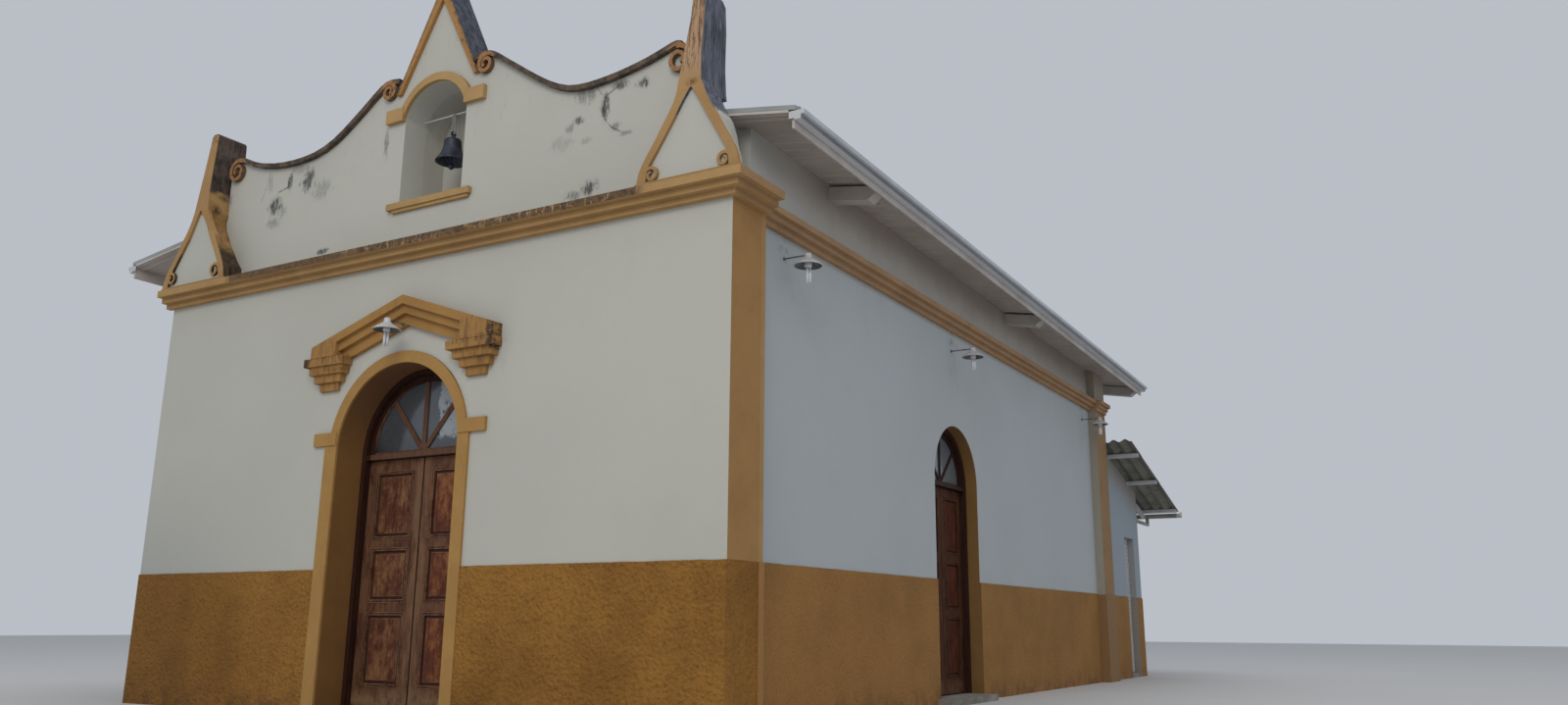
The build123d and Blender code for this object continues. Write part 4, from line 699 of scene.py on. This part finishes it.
# the frames are darkened to near black: partly their dark varnish, partly painted shade in the door's recess
wood_frame = wood_material("door_frame_wood", "x", dark_k=0.50, fan=0.662)
niche_in = Graph("bell_housing_render")
_w = plaster_white(niche_in, (0.50, 0.485, 0.435), 0.10)
_w = niche_in.mix(niche_in.mul(niche_in.step(niche_in.noise(5.0, 6.0, 0.7, niche_in.scaled(1, 1, 0.25)), 0.48, 0.72), 0.35), _w, (0.27, 0.265, 0.24))
niche_mat = niche_in.done(_w, 0.9, niche_in.bump(trowel_height(niche_in), 0.3, 0.02), spec=0.15)
white_metal = metal_material("white_painted_steel", (0.57, 0.58, 0.59), (0.49, 0.50, 0.51), 0.45, 4.0, dirt=(0.25, 0.23, 0.2), dirt_k=0.2)
soffit = eaves_material("eaves_paint", (0.51, 0.455, 0.405), (0.43, 0.380, 0.330), (0.25, 0.18, 0.13), 0.30)
# the beads get a paler copy of the eaves paint: painted highlight on the ribs
bead_m = eaves_material("soffit_bead_highlight_paint", (0.56, 0.515, 0.47), (0.48, 0.435, 0.39), (0.28, 0.22, 0.17), 0.25)
fascia_m = eaves_material("fascia_paint", (0.62, 0.575, 0.545), (0.50, 0.445, 0.405), (0.24, 0.16, 0.12), 0.45)
beam_m = eaves_material("beam_paint", (0.53, 0.50, 0.46), (0.45, 0.415, 0.375), (0.27, 0.22, 0.18), 0.28)
gutter_m = gutter_material("gutter_paint")
roof_m = metal_material("roof_sheet_paint", (0.34, 0.35, 0.35), (0.26, 0.27, 0.27), 0.5, 0.9, dirt=(0.13, 0.12, 0.105), dirt_k=0.35)
fibre = metal_material("fibre_cement", (0.235, 0.230, 0.195), (0.150, 0.145, 0.118), 0.85, 2.2, spec=0.15, dirt=(0.065, 0.068, 0.055), dirt_k=0.45)
iron = metal_material("bell_iron", (0.030, 0.036, 0.052), (0.066, 0.076, 0.100), 0.50, 14.0, 0.35, dirt=(0.12, 0.115, 0.11), dirt_k=0.35)
bar_m = metal_material("bar_white", (0.60, 0.60, 0.58), (0.46, 0.46, 0.44), 0.5, 20.0)
hanger_m = metal_material("hanger_grey", (0.36, 0.36, 0.345), (0.26, 0.26, 0.25), 0.55, 20.0)
glass = glass_material("fanlight_panes")
concrete = concrete_material("concrete")

by_node = {
    "floor_slabs": concrete, "side_door_steps": concrete,
    "front_wall_left": wall_front, "front_wall_right": wall_front, "front_wall_arch": wall_front,
    "parapet_left": parapet_l, "parapet_right": parapet_r, "parapet_middle": parapet_m, "bell_housing": niche_mat,
    "left_wall": wall_side, "right_wall_front": wall_side, "right_wall_rear": wall_side, "right_wall_arch": wall_side,
    "nave_rear_wall": wall_side, "sacristy_wall_front": wall_side, "sacristy_wall_corner": wall_side,
    "sacristy_door_lintel": wall_side, "sacristy_left_wall": wall_side, "sacristy_rear_wall": wall_side,
    "front_cornice": cornice_material("ochre_front_cornice"), "side_cornices": trim_side, "corner_pilasters": trim_foot,
    "coping_left": coping_material("coping_left_render", [(-2.985, 5.652, 0.19), (-0.652, 6.058, 0.15)]),
    "coping_right": coping_material("coping_right_render", [(0.668, 6.048, 0.15), (2.935, 5.525, 0.19)]),
    "gable_coping": gable_coping_material("gable_coping_render"),
    "pinnacle_left": pinnacle_material("pinnacle_left_render", True),
    "pinnacle_right": pinnacle_material("pinnacle_right_render", False),
    "niche_surround": trim_niche, "door_architrave": trim, "door_hood": hood,
    "main_door_frame": wood_frame, "side_door_frame": wood_frame, "left_side_door": wood_side,
    "main_door_leaf_left": wood_main, "main_door_leaf_right": wood_main_r,
    "side_door_leaf_front": wood_side, "side_door_leaf_rear": wood_side,
    "fanlight_glass": glass, "bell": iron, "bell_clapper": iron, "bell_bar": bar_m, "bell_hanger": hanger_m,
    "roof_sheets": roof_m, "ridge_cap": roof_m, "gutters": gutter_m, "fascia_boards": fascia_m, "eaves_soffits": soffit, "roof_beams": beam_m,
    "wall_lamps": white_metal, "sacristy_roof": fibre, "sacristy_purlins": white_metal, "sacristy_rafters": white_metal, "sacristy_door": white_metal,
}
for n, o in nodes.items():
    paint(o, by_node[n])


# ------------------------------------------------------------------ geometry helpers
def mesh_piece(name, verts, faces, mat, body="building", smooth=False):
    me = bpy.data.meshes.new(name)
    me.from_pydata(verts, [], faces)
    me.update()
    if smooth:
        for p in me.polygons:
            p.use_smooth = True
    o = bpy.data.objects.new(name, me)
    bpy.context.scene.collection.objects.link(o)
    me.materials.append(mat)
    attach(o, body)
    return o


def add_prism(verts, faces, ring0, ring1):
    """A closed prism between two rings of equal length."""
    k = len(verts)
    n = len(ring0)
    verts += ring0 + ring1
    faces.append(tuple(range(k + n - 1, k - 1, -1)))
    faces.append(tuple(range(k + n, k + 2 * n)))
    for i in range(n):
        j = (i + 1) % n
        faces.append((k + i, k + j, k + n + j, k + n + i))


FALL = math.radians(0.885)
RIDGE = 0.0933


def roof_point(x, y, lift):
    """A point above (or below) the top of the nave's sheets, following their pitch and their fall to the rear."""
    z = (4.870 + (4.05 - x) * 0.17 if x > RIDGE else 4.900 + (x + 4.85) * 0.13) + lift
    dy, dz = y - 0.2, z - 4.870
    return (x, 0.2 + dy * math.cos(FALL) + dz * math.sin(FALL), 4.870 - dy * math.sin(FALL) + dz * math.cos(FALL))


# ribs of the trapezoidal roof sheets, every 250 mm down the slope
verts, faces = [], []
y = 0.30
while y < 11.85:
    for s in (-1, 1):
        x_eave = 4.04 if s > 0 else -4.84
        x_top = RIDGE + s * 0.02
        if y < 0.50:
            x_top = 3.372 if s > 0 else -3.430
        elif y < 0.87 and s > 0:
            x_top = 0.56
        elif y < 0.87:
            x_top = -0.56
        r = []
        for x in (x_eave, x_top):
            r.append([roof_point(x, y - 0.032, -0.001), roof_point(x, y - 0.014, 0.027), roof_point(x, y + 0.014, 0.027), roof_point(x, y + 0.032, -0.001)])
        add_prism(verts, faces, r[0], r[1])
    y += 0.25
ribs = mesh_piece("roof_sheet_ribs", verts, faces, roof_m)

# beads of the soffit panels, from the wall out to the eave
verts, faces = [], []
y = 0.30
while y < 11.86:
    for x0, x1 in ((3.362, 4.008), (-4.808, -3.425)) if y < 0.43 else ((3.486, 4.008), (-4.808, -3.486)):
        if 0.43 < y < 0.53:
            continue
        r = []
        for x in (x0, x1):
            r.append([roof_point(x, y - 0.013, -0.0755), roof_point(x, y - 0.008, -0.084), roof_point(x, y + 0.008, -0.084), roof_point(x, y + 0.013, -0.0755)])
        add_prism(verts, faces, r[0], r[1])
    y += 0.165
mesh_piece("soffit_ribs", verts, faces, bead_m)

# corrugated fibre-cement sheets of the lean-to: three overlapping courses
SLOPE = 0.25


def lean_z(y, lift=0.0):
    return 3.640 - SLOPE * (y - 11.15) + lift


verts, faces = [], []
PITCH_M, AMP = 0.177, 0.021
courses = [(11.154, 11.80, 0.030), (11.62, 13.02, 0.022), (12.84, 14.40, 0.014)]
step = PITCH_M / 8
nx = int(8.0 / step)
for (ya, yb, lift) in courses:
    k = len(verts)
    for i in range(nx + 1):
        x = -4.0 + i * (8.0 / nx)
        w = AMP * math.cos(2 * math.pi * x / PITCH_M)
        for yy, tl in ((ya, 0.010), (yb, 0.022)):
            for t in (0.0, 0.007):
                verts.append((x, yy, lean_z(yy, lift + w + t - 0.004)))
    for i in range(nx):
        a = k + i * 4
        b = a + 4
        faces.append((a, b, b + 2, a + 2))
        faces.append((a + 1, a + 3, b + 3, b + 1))
        faces.append((a, a + 1, b + 1, b))
        faces.append((a + 2, b + 2, b + 3, a + 3))
    faces.append((k, k + 2, k + 3, k + 1))
    e = k + nx * 4
    faces.append((e, e + 1, e + 3, e + 2))
lean = mesh_piece("lean_to_sheets", verts, faces, fibre, smooth=False)
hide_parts("sacristy_roof")

# louvre slats of the sacristy door
verts, faces = [], []
z = 0.200
while z < 2.18:
    y0, y1 = 12.496, 12.999
    ring = [(3.374, z - 0.014), (3.385, z - 0.014), (3.379, z + 0.016), (3.374, z + 0.016)]
    add_prism(verts, faces, [(px, y0, pz) for px, pz in ring], [(px, y1, pz) for px, pz in ring])
    z += 0.062
sl = mesh_piece("sacristy_door_slats", verts, faces, white_metal, "sacristy_leaf")


# lamps: enamelled conical shade with rolled rim, cap, arm, and a folded tube lamp
def lathe(verts, faces, prof, cx, cy, cz, seg=32):
    k = len(verts)
    n = len(prof)
    for i in range(seg):
        a = 2 * math.pi * i / seg
        for r, z in prof:
            verts.append((cx + r * math.cos(a), cy + r * math.sin(a), cz + z))
    for i in range(seg):
        j = (i + 1) % seg
        for q in range(n - 1):
            faces.append((k + i * n + q, k + j * n + q, k + j * n + q + 1, k + i * n + q + 1))


enamel = metal_material("shade_enamel", (0.60, 0.61, 0.61), (0.48, 0.49, 0.49), 0.30, 9.0, spec=0.5, dirt=(0.12, 0.11, 0.10), dirt_k=0.5)
# the inside of the enamel shades is dark grey: painted shade within the lamp shades
inside = metal_material("shade_inside", (0.145, 0.140, 0.130), (0.075, 0.075, 0.072), 0.35, 12.0, spec=0.5)
tube_m = metal_material("lamp_tube", (0.80, 0.82, 0.84), (0.70, 0.72, 0.75), 0.22, 9.0, spec=0.6)
arm_m = metal_material("lamp_arm", (0.16, 0.16, 0.165), (0.07, 0.07, 0.075), 0.5, 15.0, spec=0.5)
shade_v, shade_f, in_v, in_f, tube_v, tube_f, arm_v, arm_f = ([] for _ in range(8))


def tube_between(verts, faces, a, b, r, seg=12):
    a, b = Vector(a), Vector(b)
    d = (b - a).normalized()
    u = d.orthogonal().normalized()
    v = d.cross(u)
    r0 = [tuple(a + u * (r * math.cos(2 * math.pi * i / seg)) + v * (r * math.sin(2 * math.pi * i / seg))) for i in range(seg)]
    r1 = [tuple(b + u * (r * math.cos(2 * math.pi * i / seg)) + v * (r * math.sin(2 * math.pi * i / seg))) for i in range(seg)]
    add_prism(verts, faces, r0, r1)


for (rx, ry, rz, dx, dy, length) in ((3.48, 1.025, 3.893, 1, 0, 0.24), (3.48, 4.883, 3.868, 1, 0, 0.265), (3.48, 10.228, 3.893, 1, 0, 0.275), (0.051, -0.048, 3.490, 0, -1, 0.192)):
    cx, cy = rx + dx * length, ry + dy * length
    lathe(shade_v, shade_f, [(0.0, 0.016), (0.026, 0.014), (0.032, 0.002), (0.032, -0.022), (0.040, -0.030), (0.054, -0.042), (0.088, -0.062), (0.120, -0.086), (0.126, -0.092), (0.126, -0.098), (0.120, -0.099)], cx, cy, rz)
    lathe(in_v, in_f, [(0.120, -0.0985), (0.112, -0.086), (0.080, -0.066), (0.040, -0.046), (0.0, -0.040)], cx, cy, rz)
    lathe(tube_v, tube_f, [(0.0, -0.040), (0.030, -0.042), (0.032, -0.095), (0.030, -0.110), (0.0, -0.112)], cx, cy, rz, 20)
    for k in range(3):
        a = math.radians(30 + 120 * k)
        ox, oy = 0.016 * math.cos(a), 0.016 * math.sin(a)
        tube_between(tube_v, tube_f, (cx + ox, cy + oy, rz - 0.105), (cx + ox, cy + oy, rz - 0.240), 0.0115, 14)
        lathe(tube_v, tube_f, [(0.0115, -0.240), (0.008, -0.2455), (0.0, -0.2485)], cx + ox, cy + oy, rz, 14)
    tube_between(arm_v, arm_f, (rx, ry, rz), (rx + dx * (length - 0.02), ry + dy * (length - 0.02), rz + 0.0), 0.0065)
    tube_between(arm_v, arm_f, (rx, ry, rz), (rx + dx * 0.012, ry + dy * 0.012, rz), 0.015, 20)
sh = mesh_piece("lamp_shades", shade_v, shade_f, enamel, smooth=True)
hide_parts("wall_lamps")
o = mesh_piece("lamp_shade_linings", in_v, in_f, inside, smooth=True)
o = mesh_piece("lamp_tubes", tube_v, tube_f, tube_m, smooth=True)
o = mesh_piece("lamp_arms", arm_v, arm_f, arm_m, smooth=False)

# ------------------------------------------------------------------ stage, light, camera
floor_mesh = bpy.data.meshes.new("floor")
floor_mesh.from_pydata([(-60, -60, 0), (60, -60, 0), (60, 60, 0), (-60, 60, 0)], [], [(0, 1, 2, 3)])
floor = bpy.data.objects.new("floor", floor_mesh)
bpy.context.scene.collection.objects.link(floor)
fg = Graph("floor_pale")
fn = fg.noise(0.4, 2.0)
paint(floor, fg.done(fg.mix(fn, (0.56, 0.55, 0.54), (0.60, 0.59, 0.58)), 0.95, spec=0.1))

world = bpy.data.worlds.new("studio")
bpy.context.scene.world = world
world.use_nodes = True
bg = world.node_tree.nodes["Background"]
bg.inputs[0].default_value = (0.82, 0.87, 0.95, 1.0)
bg.inputs[1].default_value = 0.60


def area(name, loc, target, size, energy, color):
    L = bpy.data.lights.new(name, "AREA")
    L.shape = "DISK"
    L.size = size
    L.energy = energy
    L.color = color
    o = bpy.data.objects.new(name, L)
    bpy.context.scene.collection.objects.link(o)
    o.location = loc
    o.rotation_mode = "QUATERNION"
    o.rotation_quaternion = (Vector(target) - Vector(loc)).to_track_quat("-Z", "Y")
    return o


area("key", (9.0, -18.0, 15.0), (0.5, 0.0, 3.0), 14.0, 1650.0, (1.0, 0.965, 0.88))
area("top", (2.0, 4.0, 26.0), (0.0, 5.0, 3.0), 20.0, 1300.0, (0.95, 0.98, 1.0))

cam = bpy.data.cameras.new("camera")
cam.sensor_width = 36.0
cam.lens = 26.732
cam.clip_start, cam.clip_end = 0.1, 300.0
camera = bpy.data.objects.new("camera", cam)
bpy.context.scene.collection.objects.link(camera)
yaw, pitch, roll = math.radians(29.83), math.radians(13.14), math.radians(0.33)
F = Vector((-math.sin(yaw) * math.cos(pitch), math.cos(yaw) * math.cos(pitch), math.sin(pitch)))
R = Vector((math.cos(yaw), math.sin(yaw), 0.0))
U = R.cross(F)
R2 = R * math.cos(roll) + U * math.sin(roll)
U2 = -R * math.sin(roll) + U * math.cos(roll)
from mathutils import Matrix
rot = Matrix((R2, U2, -F)).transposed()
camera.rotation_mode = "QUATERNION"
camera.rotation_quaternion = rot.to_quaternion()
camera.location = (8.283, -7.34, 0.81)
bpy.context.scene.camera = camera

scene = bpy.context.scene
scene.view_settings.view_transform = "Standard"
scene.view_settings.look = "None"
scene.view_settings.exposure = 0.0
scene.view_settings.gamma = 1.0
